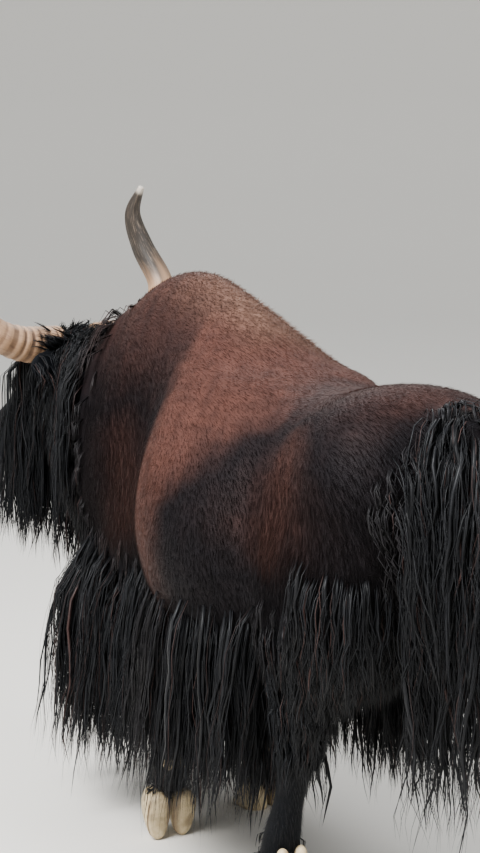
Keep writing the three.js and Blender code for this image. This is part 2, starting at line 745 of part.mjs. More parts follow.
// Upper legs, with breeches behind the thighs and a fringe behind the forearms.
const BREECHES = {
  hind: { from: 0.4, to: 0.84, rings: 3, count: 3, length: [240, 300], spread: [-20, 80] },
  front: { from: 0.62, to: 0.88, rings: 2, count: 2, length: [120, 160], spread: [-30, 110] },
};

function upperSolid(s, foot, grown = 0) {
  const rows = legRows(s, UPPER[foot]);
  const { from, to, rings, count, length, spread } = BREECHES[foot.split("_")[0]];
  const draw = seeded(61 + foot.length + (s > 0 ? 0 : 7));
  const locks = [];
  for (let ring = 0; ring < rings; ring += 1) {
    const t = mix(from, to, ring / (rings - 1));
    const [x, y, z, wide, deep] = along(rows, t);
    for (let i = 0; i < count; i += 1) {
      const angle = mix(spread[0], spread[1], (i + draw(0.3, 0.7)) / count);
      const out = vec(s * Math.sin(deg(angle)), Math.cos(deg(angle)), 0);
      locks.push({
        root: vec(x + out.x * wide * 0.86, y + out.y * deep * 0.86, z + draw(-12, 12)),
        lie: vec(out.x * 0.5, out.y * 0.5, -1).normalize(),
        hang: vec(out.x * draw(-0.2, 0.02), out.y * draw(-0.2, 0.02), -1).normalize(),
        face: out,
        length: draw(...length) * (1 - 0.22 * ring),
        width: draw(92, 110),
        thick: draw(28, 36),
        bend: 0.35,
        wave: draw(-0.14, 0.14),
      });
    }
  }
  const leg = limb(rows, { around: 12, steps: 9, caps: [0.14, 0.05] });
  return join([limbSolid(leg, grown), ...locks.map((l) => lock(l, grown))]);
}

const lowerSolid = (s, foot, grown = 0) =>
  limbSolid(limb(legRows(s, LOWER[foot]), { around: 9, steps: 10, caps: [0.05, 0.06] }), grown);

// Materials, by slot.
const finish = (color, roughness) => new THREE.MeshStandardMaterial({ color, roughness, metalness: 0 });
const MATERIALS = {
  short_coat: finish("#5a3a2a", 0.75),
  long_coat: finish("#1b1817", 0.55),
  horn: finish("#8d8070", 0.45),
  hoof: finish("#cdbf9f", 0.6),
  eye: finish("#2a1a10", 0.1),
};

// The parts in the order in which they keep their shape: each is cut clear of those before it.
const parts = [];
const SIDES = [
  ["left", 1],
  ["right", -1],
];
for (const [side, s] of SIDES) {
  parts.push([`eye_${side}`, "eye", (g) => eyeSolid(s, g)]);
  parts.push([`horn_${side}`, "horn", (g) => hornSolid(s, g)]);
  parts.push([`ear_${side}`, "long_coat", (g) => earSolid(s, g)]);
}
for (const end of ["front", "hind"]) {
  for (const [side, s] of SIDES) {
    const foot = `${end}_${side}`;
    for (const [where, inner] of [
      ["inner", -s],
      ["outer", s],
    ]) {
      parts.push([`claw_${foot}_${where}`, "hoof", (g) => clawSolid(s, foot, inner, g)]);
      parts.push([`dewclaw_${foot}_${where}`, "hoof", (g) => dewclawSolid(s, foot, inner, g)]);
    }
    parts.push([`lower_leg_${foot}`, "long_coat", (g) => lowerSolid(s, foot, g)]);
  }
}
parts.push(["torso", "short_coat", (g) => torsoSolid(g)]);
parts.push(["head", "long_coat", (g) => headSolid(g)]);
parts.push(["tail", "long_coat", (g) => tailSolid(g)]);
for (const end of ["front", "hind"]) {
  for (const [side, s] of SIDES) {
    parts.push([`upper_leg_${end}_${side}`, "long_coat", (g) => upperSolid(s, `${end}_${side}`, g)]);
  }
}
for (const [side, s] of SIDES) {
  parts.push([`skirt_${side}`, "long_coat", (g) => skirtSolid(s, g)]);
}
parts.push(["chest_coat", "long_coat", (g) => chestSolid(g)]);
parts.push(["neck", "long_coat", (g) => neckSolid(g)]);

const boxesMeet = (a, b) => [0, 1, 2].every((k) => a.min[k] <= b.max[k] && b.min[k] <= a.max[k]);

const yak = new THREE.Group();
const before = [];
for (const [name, slot, make] of parts) {
  let body = make(0);
  for (const earlier of before) {
    if (boxesMeet(body.boundingBox(), earlier.boundingBox())) body = body.subtract(earlier);
  }
  body = largest(body);
  before.push(make(GAP));
  const made = body.getMesh();
  const geometry = new THREE.BufferGeometry();
  geometry.setAttribute("position", new THREE.BufferAttribute(new Float32Array(made.vertProperties), 3));
  geometry.setIndex(new THREE.BufferAttribute(new Uint32Array(made.triVerts), 1));
  const mesh = new THREE.Mesh(geometry, MATERIALS[slot]);
  mesh.name = name;
  yak.add(mesh);
}

yak.position.set(-ORIGIN.x, -ORIGIN.y, 0);

export default yak;
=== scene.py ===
"""A life-size walking yak: one skin with a coat of tufts and long locks, horns, eyes and hooves.

The yak stands on a pale floor, faces -Y and has its left side at +X. Rows of sizes are in millimetres, as on
a modeller's drawing, and every mesh is in metres. Shapes are functions of two parameters on a grid, worked
out as whole arrays.
"""

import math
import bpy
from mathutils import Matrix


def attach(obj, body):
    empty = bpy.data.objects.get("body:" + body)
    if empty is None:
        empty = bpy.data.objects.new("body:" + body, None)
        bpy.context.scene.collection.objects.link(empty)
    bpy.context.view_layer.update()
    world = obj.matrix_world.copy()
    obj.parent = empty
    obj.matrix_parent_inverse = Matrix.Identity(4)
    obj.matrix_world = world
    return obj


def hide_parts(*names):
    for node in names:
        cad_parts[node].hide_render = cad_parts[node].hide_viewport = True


bl_info = {
    "name": "Walking yak",
    "version": (1, 0, 0),
    "blender": (4, 5, 0),
    "location": "3D View > Sidebar > Yak",
    "description": "A life-size yak with a long coat of mesh locks",
    "category": "Add Mesh",
}

import bpy
import numpy as np

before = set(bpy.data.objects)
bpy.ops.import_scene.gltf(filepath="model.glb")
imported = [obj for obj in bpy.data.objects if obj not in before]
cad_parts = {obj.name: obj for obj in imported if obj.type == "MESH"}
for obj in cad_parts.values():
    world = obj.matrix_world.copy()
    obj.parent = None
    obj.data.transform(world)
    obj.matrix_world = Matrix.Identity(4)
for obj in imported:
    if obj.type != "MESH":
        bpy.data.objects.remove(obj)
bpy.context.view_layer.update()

MM = 0.001
ORIGIN = np.array([5.0, 30.0, 0.0]) * MM  # the point on the floor under the middle of the yak
BODY = "root"

# Place and lie of the head.
POLL = np.array([30.0, -730.0, 1138.0])
HEAD_YAW = 15.0
HEAD_PITCH = 33.0

# The photograph's view.
EYE_HEIGHT = 1653.0
VIEW_AZIMUTH = 150.5
VIEW_PITCH = 8.15
VIEW_DISTANCE = 4760.0  # from the hump
VIEW_ASIDE = 83.3  # how far the hump is left of the middle of the view
HUMP_PLACE = -60.0
LENS = 84.4
SENSOR = 36.0

# Hems of the long coat above the floor, and how wide it swings from the middle line before it is drawn back.
SKIRT_HEM = 158.0
THROAT_HEM = 560.0
TAIL_HEM = 240.0
COAT_HALF_WIDTH = 360.0
PLUSH_LENGTH = 27.0  # of the short coat where it is shortest

# Rows of the skirts' hem: y, and how far it lies above or below SKIRT_HEM there.
HEM_RISE = [
    [-640, 60],
    [-320, -8],
    [0, 0],
    [220, 15],
    [450, 40],
    [600, 85],
]

# How deep in the skin the hairs are rooted, and the side of a hair's patch in the bake map.
LOCK_ROOT_DEPTH = 3.0
TUFT_ROOT_DEPTH = 2.5
MAP_PATCH = 0.003

# Long hair is kept this far clear of the body, where it lies no deeper than this in the torso and the neck.
CLEARANCE = 4.0
BODY_PUSH = 60.0
NECK_PUSH = 45.0

# Grain of the fused surfaces: the trunk, the head and the lids.
TRUNK_GRAIN = 10.0
HEAD_GRAIN = 4.0
LID_GRAIN = 3.0

# Rows of the torso: y, top, bottom, half width, widest share, ridge.
TORSO = [
    [-490, 1130, 640, 150, 0.55, 0.5],
    [-380, 1256, 520, 192, 0.56, 0.48],
    [-260, 1322, 488, 222, 0.57, 0.46],
    [-160, 1350, 476, 234, 0.58, 0.45],
    [-60, 1360, 468, 240, 0.6, 0.45],
    [40, 1343, 460, 250, 0.6, 0.46],
    [100, 1321, 454, 274, 0.59, 0.48],
    [160, 1294, 450, 311, 0.57, 0.5],
    [220, 1262, 446, 339, 0.55, 0.52],
    [300, 1214, 440, 356, 0.53, 0.53],
    [380, 1176, 440, 362, 0.52, 0.53],
    [480, 1142, 448, 348, 0.5, 0.54],
    [570, 1134, 470, 302, 0.47, 0.54],
    [640, 1145, 505, 262, 0.44, 0.54],
    [720, 1164, 540, 258, 0.4, 0.55],
    [800, 1172, 585, 262, 0.36, 0.56],
    [880, 1156, 640, 252, 0.36, 0.56],
    [960, 1110, 710, 212, 0.4, 0.55],
    [1035, 1035, 780, 155, 0.5, 0.55],
]
TORSO_CAPS = (0.07, 0.06)

# Rows of the skull, in the head's own frame: f, top, bottom, half width, widest share, ridge.
SKULL = [
    [-75, -14, -190, 92, 0.4, 0.5],
    [-20, 0, -208, 106, 0.38, 0.46],
    [50, 5, -218, 112, 0.36, 0.44],
    [130, 2, -222, 114, 0.34, 0.42],
    [190, -6, -220, 106, 0.36, 0.42],
    [255, -18, -202, 90, 0.42, 0.43],
    [320, -26, -184, 80, 0.46, 0.42],
    [390, -28, -172, 80, 0.46, 0.4],
    [445, -30, -166, 84, 0.46, 0.38],
    [515, -44, -148, 74, 0.48, 0.38],
]
SKULL_CAPS = (0.14, 0.07)
EYE = (178.0, 93.0, -52.0)
EYE_RADIUS = 19.0
EYE_OPENING = (17.0, 11.0)  # half length and half height
LID_HALF = (21.0, 11.5)  # half length and half height of the lids' rim
LID_THICKNESS = (3.6, 1.6)  # of the lower lid, and how much more the upper one has
LID_OUT = (13.5, 5.5)  # the rim's distance out from the eye's middle, and how far its corners lie back
LID_SLANT = 0.12
EAR_YAW = 106.0
EAR_PITCH = 16.0

# Rows of the horns: place, forward, out, up, radius, from the poll and level with the floor.
HORN = [
    [0, -4, 62, -24, 52],
    [0.12, -4, 112, -20, 51],
    [0.28, -2, 200, -8, 46],
    [0.45, 6, 284, 32, 41],
    [0.62, 34, 338, 116, 36],
    [0.78, 92, 322, 222, 31],
    [0.9, 104, 298, 312, 22],
    [1, 66, 298, 388, 8],
]
HORN_RINGS = 9
HORN_RINGS_END = 0.42
STREAK_LENGTH = 2.4  # the horn's length in the noise of its streaks, where its radius is 1

# Rows of the limbs: place, x, y, z, half width, half depth, for the left side.
NECK = [
    [0, 0, -330, 915, 205, 372],
    [0.3, 2, -450, 918, 184, 316],
    [0.58, 10, -560, 944, 156, 250],
    [0.82, 22, -660, 985, 130, 176],
    [1, 34, -745, 1010, 112, 136],
]
TAIL = [
    [0, 0, 880, 1082, 56, 50],
    [0.2, 0, 985, 1086, 56, 52],
    [0.42, 3, 1060, 1010, 52, 50],
    [0.7, 8, 1090, 850, 42, 42],
    [1, 8, 1084, 690, 24, 24],
]
UPPER = {
    "front_left": [
        [0, 126, -250, 960, 50, 100],
        [0.25, 144, -225, 830, 58, 136],
        [0.5, 154, -165, 690, 58, 108],
        [0.75, 166, -95, 560, 54, 74],
        [1, 172, -50, 395, 46, 50],
    ],
    "front_right": [
        [0, 126, -250, 960, 50, 100],
        [0.25, 144, -225, 830, 58, 136],
        [0.5, 156, -170, 690, 58, 108],
        [0.75, 170, -110, 560, 54, 74],
        [1, 178, -62, 385, 46, 50],
    ],
    "hind_left": [
        [0, 96, 800, 1080, 60, 130],
        [0.22, 134, 790, 960, 88, 195],
        [0.45, 178, 752, 820, 102, 198],
        [0.66, 190, 718, 680, 82, 146],
        [0.84, 192, 706, 545, 58, 88],
        [1, 192, 700, 430, 43, 56],
    ],
    "hind_right": [
        [0, 96, 830, 1060, 60, 120],
        [0.22, 134, 830, 940, 86, 175],
        [0.45, 178, 830, 820, 100, 186],
        [0.66, 188, 870, 680, 80, 140],
        [0.84, 188, 938, 545, 57, 84],
        [1, 188, 985, 430, 43, 56],
    ],
}
LOWER = {
    "front_left": [
        [0, 172, -52, 415, 41, 44],
        [0.12, 171, -40, 378, 46, 48],
        [0.35, 164, -2, 300, 34, 36],
        [0.62, 156, 42, 222, 41, 43],
        [0.82, 151, 42, 170, 45, 42],
        [1, 150, 26, 118, 52, 42],
    ],
    "front_right": [
        [0, 178, -66, 410, 41, 44],
        [0.12, 178, -62, 372, 46, 48],
        [0.38, 176, -48, 275, 34, 36],
        [0.64, 174, -38, 190, 43, 46],
        [0.82, 172, -52, 128, 46, 46],
        [1, 170, -74, 66, 56, 54],
    ],
    "hind_left": [
        [0, 192, 700, 450, 38, 48],
        [0.14, 192, 692, 400, 42, 54],
        [0.4, 191, 658, 290, 35, 38],
        [0.66, 190, 624, 188, 44, 46],
        [0.83, 190, 606, 126, 46, 46],
        [1, 190, 584, 66, 56, 54],
    ],
    "hind_right": [
        [0, 188, 985, 450, 38, 48],
        [0.14, 188, 992, 402, 42, 54],
        [0.4, 186, 978, 290, 35, 38],
        [0.66, 184, 965, 188, 44, 46],
        [0.83, 183, 948, 126, 46, 46],
        [1, 182, 924, 66, 56, 54],
    ],
}
FEET = {  # x, y and degrees that the heel is raised
    "front_left": (150, 40, 80),
    "front_right": (170, -84, 0),
    "hind_left": (190, 574, 0),
    "hind_right": (182, 914, 0),
}
SIDE_OF = {"front_left": 1, "front_right": -1, "hind_left": 1, "hind_right": -1}

# Hooves: rows along the sole from toe to heel: place, half width, share of the height.
CLAW = [
    [0, 14, 0.2],
    [0.16, 23, 0.56],
    [0.38, 30, 0.92],
    [0.6, 31, 0.95],
    [0.82, 29, 0.77],
    [1, 22, 0.56],
]
HOOF_LENGTH = 118.0
HOOF_HEIGHT = 78.0
CLAW_WIDTH = 60.0
CLAW_BOW = 2.0
CLAW_DRAFT = 0.12
CLAW_LEAN = 18.0
SOLE_ROUND = 14.0
HOOF_RINGS = 9
HOOF_RING_DEPTH = 0.012
SOLE_RIM = 3.0
DEWCLAW = (13.0, 15.0, 17.0)  # half sizes
DEWCLAW_ASIDE = 22.0
DEWCLAW_DROP = 22.0

# The brisket between the forelegs: its middle and half sizes.
BRISKET = (0.0, -325.0, 610.0, 196.0, 150.0, 104.0)

# Muscle and bone that the coat lets show: x, y, z of the left side, sizes along x, y and z, height.
BULGES = [
    (225, -190, 960, 150, 90, 200, 12),
    (230, -90, 700, 120, 110, 110, 14),
    (215, 690, 1090, 70, 70, 60, 12),
    (262, 590, 900, 90, 46, 190, -16),
    (262, 640, 670, 90, 70, 100, 12),
    (200, 850, 900, 130, 120, 150, 8),
    (150, 420, 1120, 100, 150, 80, 24),
]

# The stage, in metres: the floor's profile as radius and height, and lights as name, place, power and size.
FLOOR_PROFILE = [
    (4, 0),
    (9, 0),
    (14, 0),
    (16, 0.25),
    (18, 1.0),
    (19.5, 2.2),
    (20.4, 4.0),
    (20.8, 6.0),
    (21.0, 9.0),
]
FLOOR_AROUND = 96
LIGHTS = [
    ("key", (3.6, 1.4, 4.8), 620, 2.6),
    ("fill", (-1.5, 5.0, 3.4), 160, 3.4),
    ("rim", (-2.4, -4.4, 4.4), 60, 3.0),
]
LIGHTS_AIM = np.array([0, 0, 0.9])


def mm(rows):
    """The rows as an array, in millimetres."""
    return np.asarray(rows, float)


def mirrored(rows, side):
    """Limb rows of one side: x is turned over for the right side, where side is -1."""
    made = mm(rows).copy()
    made[:, 1] *= side
    return made


def along(rows, place):
    """Values between rows: a cubic through each row, with the slope of the line between its neighbours."""
    rows = mm(rows)
    place = np.clip(np.asarray(place, float), rows[0, 0], rows[-1, 0])
    i = np.clip(np.searchsorted(rows[:, 0], place) - 1, 0, len(rows) - 2)
    a, b = rows[i], rows[i + 1]
    before = rows[np.maximum(i - 1, 0)]
    after = rows[np.minimum(i + 2, len(rows) - 1)]
    span = (b - a)[..., :1]
    t = (place[..., None] - a[..., :1]) / span
    slope_a = (b - before)[..., 1:] / (b - before)[..., :1] * span
    slope_b = (after - a)[..., 1:] / (after - a)[..., :1] * span
    t2, t3 = t * t, t * t * t
    return (
        (2 * t3 - 3 * t2 + 1) * a[..., 1:]
        + (t3 - 2 * t2 + t) * slope_a
        + (3 * t2 - 2 * t3) * b[..., 1:]
        + (t3 - t2) * slope_b
    )


def mix(a, b, t):
    """The straight line from a to b, at t."""
    return a + (b - a) * t


def smooth(low, high, x):
    """0 below low and 1 above high, with an S-shaped rise between them."""
    t = np.clip((np.asarray(x, float) - low) / (high - low), 0, 1)
    return t * t * (3 - 2 * t)


def unit(v):
    """Vectors of length 1."""
    return v / np.maximum(np.linalg.norm(v, axis=-1, keepdims=True), 1e-9)


def dot(a, b):
    """Dot products, kept as a last axis of one."""
    return (a * b).sum(-1, keepdims=True)


def cap(t, share):
    """A rounded end: a quarter circle over the given share of the length, then 1."""
    return np.sqrt(np.maximum(0, 1 - (1 - np.clip(t / share, 0, 1)) ** 2))


def waves(points, size, seed):
    """Smooth noise, mostly between -1 and 1: nine sine waves in random directions, about `size` mm long."""
    draw = np.random.default_rng(seed)
    ways = unit(draw.normal(size=(9, 3))) * (2 * np.pi / size) * draw.uniform(0.6, 1.7, (9, 1))
    phases = draw.uniform(0, 2 * np.pi, 9)
    return np.sin(points @ ways.T + phases).sum(-1) / 4.5


def linear(hex_colour):
    """A linear RGBA colour from an sRGB hex value such as #5a3a2a."""
    channels = np.array([int(hex_colour[i : i + 2], 16) for i in (1, 3, 5)]) / 255
    made = np.where(channels <= 0.04045, channels / 12.92, ((channels + 0.055) / 1.055) ** 2.4)
    return (*made.tolist(), 1.0)


def head_frame():
    """The head's own directions: F to the muzzle, L to its left and U up from the face."""
    yaw, pitch = math.radians(HEAD_YAW), math.radians(HEAD_PITCH)
    cy, sy, cp, sp = math.cos(yaw), math.sin(yaw), math.cos(pitch), math.sin(pitch)
    about_z = np.array([[cy, -sy, 0], [sy, cy, 0], [0, 0, 1]])
    about_x = np.array([[1, 0, 0], [0, cp, -sp], [0, sp, cp]])
    turn = about_z @ about_x
    return turn @ [0, -1, 0], turn @ [1, 0, 0], turn @ [0, 0, 1]


HEAD_F, HEAD_L, HEAD_U = head_frame()


def head_at(f, l, u):
    """Points from places in the head's frame."""
    f, l, u = np.broadcast_arrays(np.asarray(f, float), l, u)
    return POLL + f[..., None] * HEAD_F + l[..., None] * HEAD_L + u[..., None] * HEAD_U


def head_local(points):
    """Places in the head's frame: f, l and u."""
    away = points - POLL
    return away @ HEAD_F, away @ HEAD_L, away @ HEAD_U


def egg_width(half_width, wide, ridge, s):
    """Half width of an egg section at the share s of the way down: a sine bent to peak at `wide`."""
    bend = math.log(0.5) / np.log(wide)
    power = mix(ridge, 0.5, s)
    return half_width * np.maximum(0, np.sin(np.pi * np.minimum(1, s) ** bend)) ** power


def grid(around, steps):
    """Two arrays of parameters: u once round, and v from end to end without the poles themselves."""
    u = np.arange(around) / around
    v = (np.arange(steps) + 0.5) / steps
    return np.meshgrid(u, v)


def torso_grid(around=120, steps=150):
    """Egg sections along y between the rows, drawn in by a quarter circle at both ends."""
    u, v = grid(around, steps)
    t = mix((1 - np.cos(np.pi * v)) / 2, v, 0.55)
    y = mix(TORSO[0][0], TORSO[-1][0], t)
    top, bottom, half_width, wide, ridge = np.moveaxis(along(TORSO, y), -1, 0)
    ends = np.minimum(cap(t, TORSO_CAPS[0]), cap(1 - t, TORSO_CAPS[1]))
    s = (1 - np.cos(2 * np.pi * u)) / 2
    across = egg_width(half_width, wide, ridge, s) * np.sign(np.sin(2 * np.pi * u) + 1e-12)
    up = mix(top, bottom, s)
    return np.stack([across * ends, y, mix(mix(top, bottom, 0.45), up, ends)], -1)


def torso_side(y, z):
    """Half width of the torso at a place along it and a height."""
    top, bottom, half_width, wide, ridge = np.moveaxis(along(TORSO, y), -1, 0)
    return egg_width(half_width, wide, ridge, np.clip((top - z) / (top - bottom), 0, 1))


def skull_grid(around=96, steps=110):
    """Egg sections along the head's own F between the rows, closed by quarter circles."""
    u, v = grid(around, steps)
    t = mix((1 - np.cos(np.pi * v)) / 2, v, 0.45)
    f = mix(SKULL[0][0], SKULL[-1][0], t)
    top, bottom, half_width, wide, ridge = np.moveaxis(along(SKULL, f), -1, 0)
    ends = np.minimum(cap(t, SKULL_CAPS[0]), cap(1 - t, SKULL_CAPS[1]))
    s = (1 - np.cos(2 * np.pi * u)) / 2
    across = egg_width(half_width, wide, ridge, s) * np.sign(np.sin(2 * np.pi * u) + 1e-12)
    return head_at(f, across * ends, mix(mix(top, bottom, 0.5), mix(top, bottom, s), ends))


def limb_grid(rows, around=48, steps=60, caps=(0.15, 0.15)):
    """A tube of oval section along the curve through the rows; width lies along x and depth across."""
    rows = mm(rows)
    u, v = grid(around, steps)
    place = mix((1 - np.cos(np.pi * v)) / 2, v, 0.6)
    x, y, z, width, depth = np.moveaxis(along(rows, place), -1, 0)
    after, before = along(rows, np.minimum(1, place + 0.02)), along(rows, np.maximum(0, place - 0.02))
    ahead = unit(after[..., :3] - before[..., :3])
    across = unit(np.cross(ahead, [1, 0, 0]))
    wide = unit(np.cross(across, ahead))
    ends = np.minimum(cap(place, caps[0]), cap(1 - place, caps[1]))
    angle = 2 * np.pi * u
    centre = np.stack([x, y, z], -1)
    return (
        centre
        + wide * (width * ends * np.cos(angle))[..., None]
        + across * (depth * ends * np.sin(angle))[..., None]
    )


def turned(points, pitch, yaw):
    """Points in the head's frame, turned by pitch about L and then by yaw about U, in degrees."""
    a, b = math.radians(pitch), math.radians(yaw)
    about_l = np.array([[math.cos(a), 0, math.sin(a)], [0, 1, 0], [-math.sin(a), 0, math.cos(a)]])
    about_u = np.array([[math.cos(b), -math.sin(b), 0], [math.sin(b), math.cos(b), 0], [0, 0, 1]])
    return points @ (about_u @ about_l).T


def head_ball(f, l, u, sizes, pitch=0, yaw=0, around=32, steps=20):
    """An ellipsoid in the head's frame, with half sizes along F, L and U, turned by pitch and yaw."""
    a, v = grid(around, steps)
    ring = np.sin(np.pi * v)
    local = np.stack(
        [
            sizes[0] * np.cos(np.pi * v),
            sizes[1] * ring * np.cos(2 * np.pi * a),
            sizes[2] * ring * np.sin(2 * np.pi * a),
        ],
        -1,
    )
    local = turned(local, pitch, yaw)
    return head_at(f + local[..., 0], l + local[..., 1], u + local[..., 2])


def closed_mesh(points):
    """Vertices and triangles of a grid that closes round u, with a pole vertex at each end."""
    steps, around, _ = points.shape
    vertices = np.concatenate([points.reshape(-1, 3), points[:1].mean(1), points[-1:].mean(1)])
    row, col = np.meshgrid(np.arange(steps - 1), np.arange(around), indexing="ij")
    nxt = (col + 1) % around
    a, b = row * around + col, row * around + nxt
    c, d = a + around, b + around
    ring = np.arange(around)
    start, end = steps * around, steps * around + 1
    last = (steps - 1) * around
    triangles = np.concatenate(
        [
            np.stack([a, b, d], -1).reshape(-1, 3),
            np.stack([a, d, c], -1).reshape(-1, 3),
            np.stack([(ring + 1) % around, ring, np.full(around, start)], -1),
            np.stack([last + ring, last + (ring + 1) % around, np.full(around, end)], -1),
        ]
    )
    p, q, r = (vertices[triangles[:, k]] for k in range(3))
    if (p * np.cross(q, r)).sum() < 0:
        triangles = triangles[:, ::-1]
    return vertices, triangles


def joined(meshes):
    """Several vertex and triangle pairs as one."""
    vertices, triangles, start = [], [], 0
    for v, t in meshes:
        vertices.append(v)
        triangles.append(t + start)
        start += len(v)
    return np.concatenate(vertices), np.concatenate(triangles)


def new_object(name, vertices, faces):
    """A mesh object from vertices in millimetres and an array of faces with equal numbers of corners."""
    mesh = bpy.data.meshes.new(name)
    count, sides = faces.shape
    mesh.vertices.add(len(vertices))
    mesh.vertices.foreach_set("co", (vertices * MM - ORIGIN).astype(np.float32).ravel())
    mesh.loops.add(count * sides)
    mesh.loops.foreach_set("vertex_index", faces.astype(np.int32).ravel())
    mesh.polygons.add(count)
    mesh.polygons.foreach_set("loop_start", np.arange(0, count * sides, sides, dtype=np.int32))
    mesh.polygons.foreach_set("use_smooth", np.full(count, True))
    mesh.update(calc_edges=True)
    made = bpy.data.objects.new(name, mesh)
    bpy.context.scene.collection.objects.link(made)
    return made


def evaluated(piece):
    """The piece with its modifiers applied, as vertices in mm and triangles. The piece is removed."""
    graph = bpy.context.evaluated_depsgraph_get()
    mesh = bpy.data.meshes.new_from_object(piece.evaluated_get(graph))
    vertices, triangles = arrays_of(mesh)
    bpy.data.objects.remove(piece)
    bpy.data.meshes.remove(mesh)
    return vertices, triangles


def arrays_of(mesh):
    """Vertices in millimetres and triangles of a mesh."""
    mesh.calc_loop_triangles()
    co = np.empty(len(mesh.vertices) * 3, np.float32)
    mesh.vertices.foreach_get("co", co)
    corners = np.empty(len(mesh.loop_triangles) * 3, np.int32)
    mesh.loop_triangles.foreach_get("vertices", corners)
    return (co.reshape(-1, 3).astype(float) + ORIGIN) / MM, corners.reshape(-1, 3)


def fused(meshes, voxel, rounds):
    """The meshes as one closed surface, remeshed at the voxel size and smoothed for some rounds."""
    piece = new_object("work", *joined(meshes))
    remesh = piece.modifiers.new("Remesh", "REMESH")
    remesh.mode = "VOXEL"
    remesh.voxel_size = voxel * MM
    soften = piece.modifiers.new("Smooth", "SMOOTH")
    soften.factor = 0.5
    soften.iterations = rounds
    return evaluated(piece)


def combined(solid, other, operation):
    """Two closed surfaces as one: their union, or the first with the second taken away (difference)."""
    piece = new_object("work", *solid)
    tool = new_object("tool", *other)
    mod = piece.modifiers.new("Combine", "BOOLEAN")
    mod.operation = operation
    mod.solver = "MANIFOLD"
    mod.object = tool
    made = evaluated(piece)
    bpy.data.objects.remove(tool)
    return made


def normals_of(vertices, triangles):
    """Unit normals at the vertices: the sum of the cross products of the triangles round each."""
    p, q, r = (vertices[triangles[:, k]] for k in range(3))
    face = np.cross(q - p, r - p)
    total = np.zeros_like(vertices)
    for k in range(3):
        for axis in range(3):
            total[:, axis] += np.bincount(triangles[:, k], face[:, axis], len(vertices))
    return unit(total)


def relaxed(vertices, triangles, weight, rounds):
    """The vertices drawn towards the middle of their neighbours, by six tenths a round where weight is 1."""
    ends = np.concatenate([triangles[:, [0, 1]], triangles[:, [1, 2]], triangles[:, [2, 0]]])
    count = np.bincount(ends[:, 0], minlength=len(vertices))[:, None]
    made = vertices.copy()
    for _ in range(rounds):
        sums = [np.bincount(ends[:, 0], made[ends[:, 1], axis], len(made)) for axis in range(3)]
        total = np.stack(sums, -1)
        made += 0.6 * weight[:, None] * (total / np.maximum(count, 1) - made)
    return made


# Regions of the skin: each is a tube with its own place along and angle round, and a cell of the bake map.
REGIONS = ["torso", "neck", "head", "tail", "front_left", "front_right", "hind_left", "hind_right"]
CELLS = {  # left, bottom, width, height
    "torso": (0.01, 0.5, 0.98, 0.49),
    "neck": (0.01, 0.26, 0.3, 0.22),
    "head": (0.33, 0.26, 0.4, 0.22),
    "tail": (0.75, 0.26, 0.24, 0.22),
    "front_left": (0.01, 0.02, 0.23, 0.22),
    "front_right": (0.26, 0.02, 0.23, 0.22),
    "hind_left": (0.51, 0.02, 0.23, 0.22),
    "hind_right": (0.76, 0.02, 0.23, 0.22),
}


def leg_rows(foot):
    """One list of rows for the whole leg, from the hip or shoulder down to the hoof."""
    side = SIDE_OF[foot]
    upper, lower = mirrored(UPPER[foot], side), mirrored(LOWER[foot], side)
    rows = np.concatenate([upper[:-1], lower[1:]])
    lengths = np.r_[0, np.cumsum(np.linalg.norm(np.diff(rows[:, 1:4], axis=0), axis=1))]
    rows[:, 0] = lengths / lengths[-1]
    return rows


def tube_place(points, rows, samples=60):
    """Place along a limb's curve, angle round it and distance from it as a share of its half size."""
    t = np.linspace(0, 1, samples)
    values = along(rows, t)
    centres = values[:, :3]
    ahead = unit(np.gradient(centres, axis=0))
    nearest = np.empty(len(points), int)
    for start in range(0, len(points), 20000):
        part = points[start : start + 20000]
        away = ((part[:, None, :] - centres[None]) ** 2).sum(-1)
        nearest[start : start + 20000] = away.argmin(1)
    off = points - centres[nearest]
    across = unit(np.cross(ahead[nearest], [1, 0, 0]))
    wide = unit(np.cross(across, ahead[nearest]))
    a, b = (off * wide).sum(-1), (off * across).sum(-1)
    beyond = (off * ahead[nearest]).sum(-1)
    width, depth = values[nearest, 3], values[nearest, 4]
    share = np.sqrt((a / width) ** 2 + (b / depth) ** 2 + (beyond / width) ** 2)
    return t[nearest], np.arctan2(b, a) / (2 * np.pi), share


def region_places(points):
    """For each region: place along, turn round (-0.5 to 0.5) and share of the half size, as three arrays."""
    made = {}
    y = points[:, 1]
    top, bottom, half_width = np.moveaxis(along(TORSO, y)[..., :3], -1, 0)
    middle, tall = (top + bottom) / 2, (top - bottom) / 2
    past = np.maximum(0, np.maximum(TORSO[0][0] - y, y - TORSO[-1][0])) / 100
    share = np.sqrt((points[:, 0] / half_width) ** 2 + ((points[:, 2] - middle) / tall) ** 2 + past**2)
    turn = np.arctan2(points[:, 0], points[:, 2] - middle) / (2 * np.pi)
    made["torso"] = ((y - TORSO[0][0]) / (TORSO[-1][0] - TORSO[0][0]), turn, share)
    f, l, u = head_local(points)
    top, bottom, half_width = np.moveaxis(along(SKULL, f)[..., :3], -1, 0)
    middle, tall = (top + bottom) / 2, (top - bottom) / 2
    past = np.maximum(0, np.maximum(SKULL[0][0] - f, f - SKULL[-1][0] - 6)) / 40
    share = np.sqrt((l / half_width) ** 2 + ((u - middle) / tall) ** 2 + past**2)
    turn = np.arctan2(l, u - middle) / (2 * np.pi)
    made["head"] = ((f - SKULL[0][0]) / (SKULL[-1][0] - SKULL[0][0]), turn, share)
    made["neck"] = tube_place(points, NECK)
    made["tail"] = tube_place(points, TAIL)
    for foot in SIDE_OF:
        made[foot] = tube_place(points, leg_rows(foot))
    return made


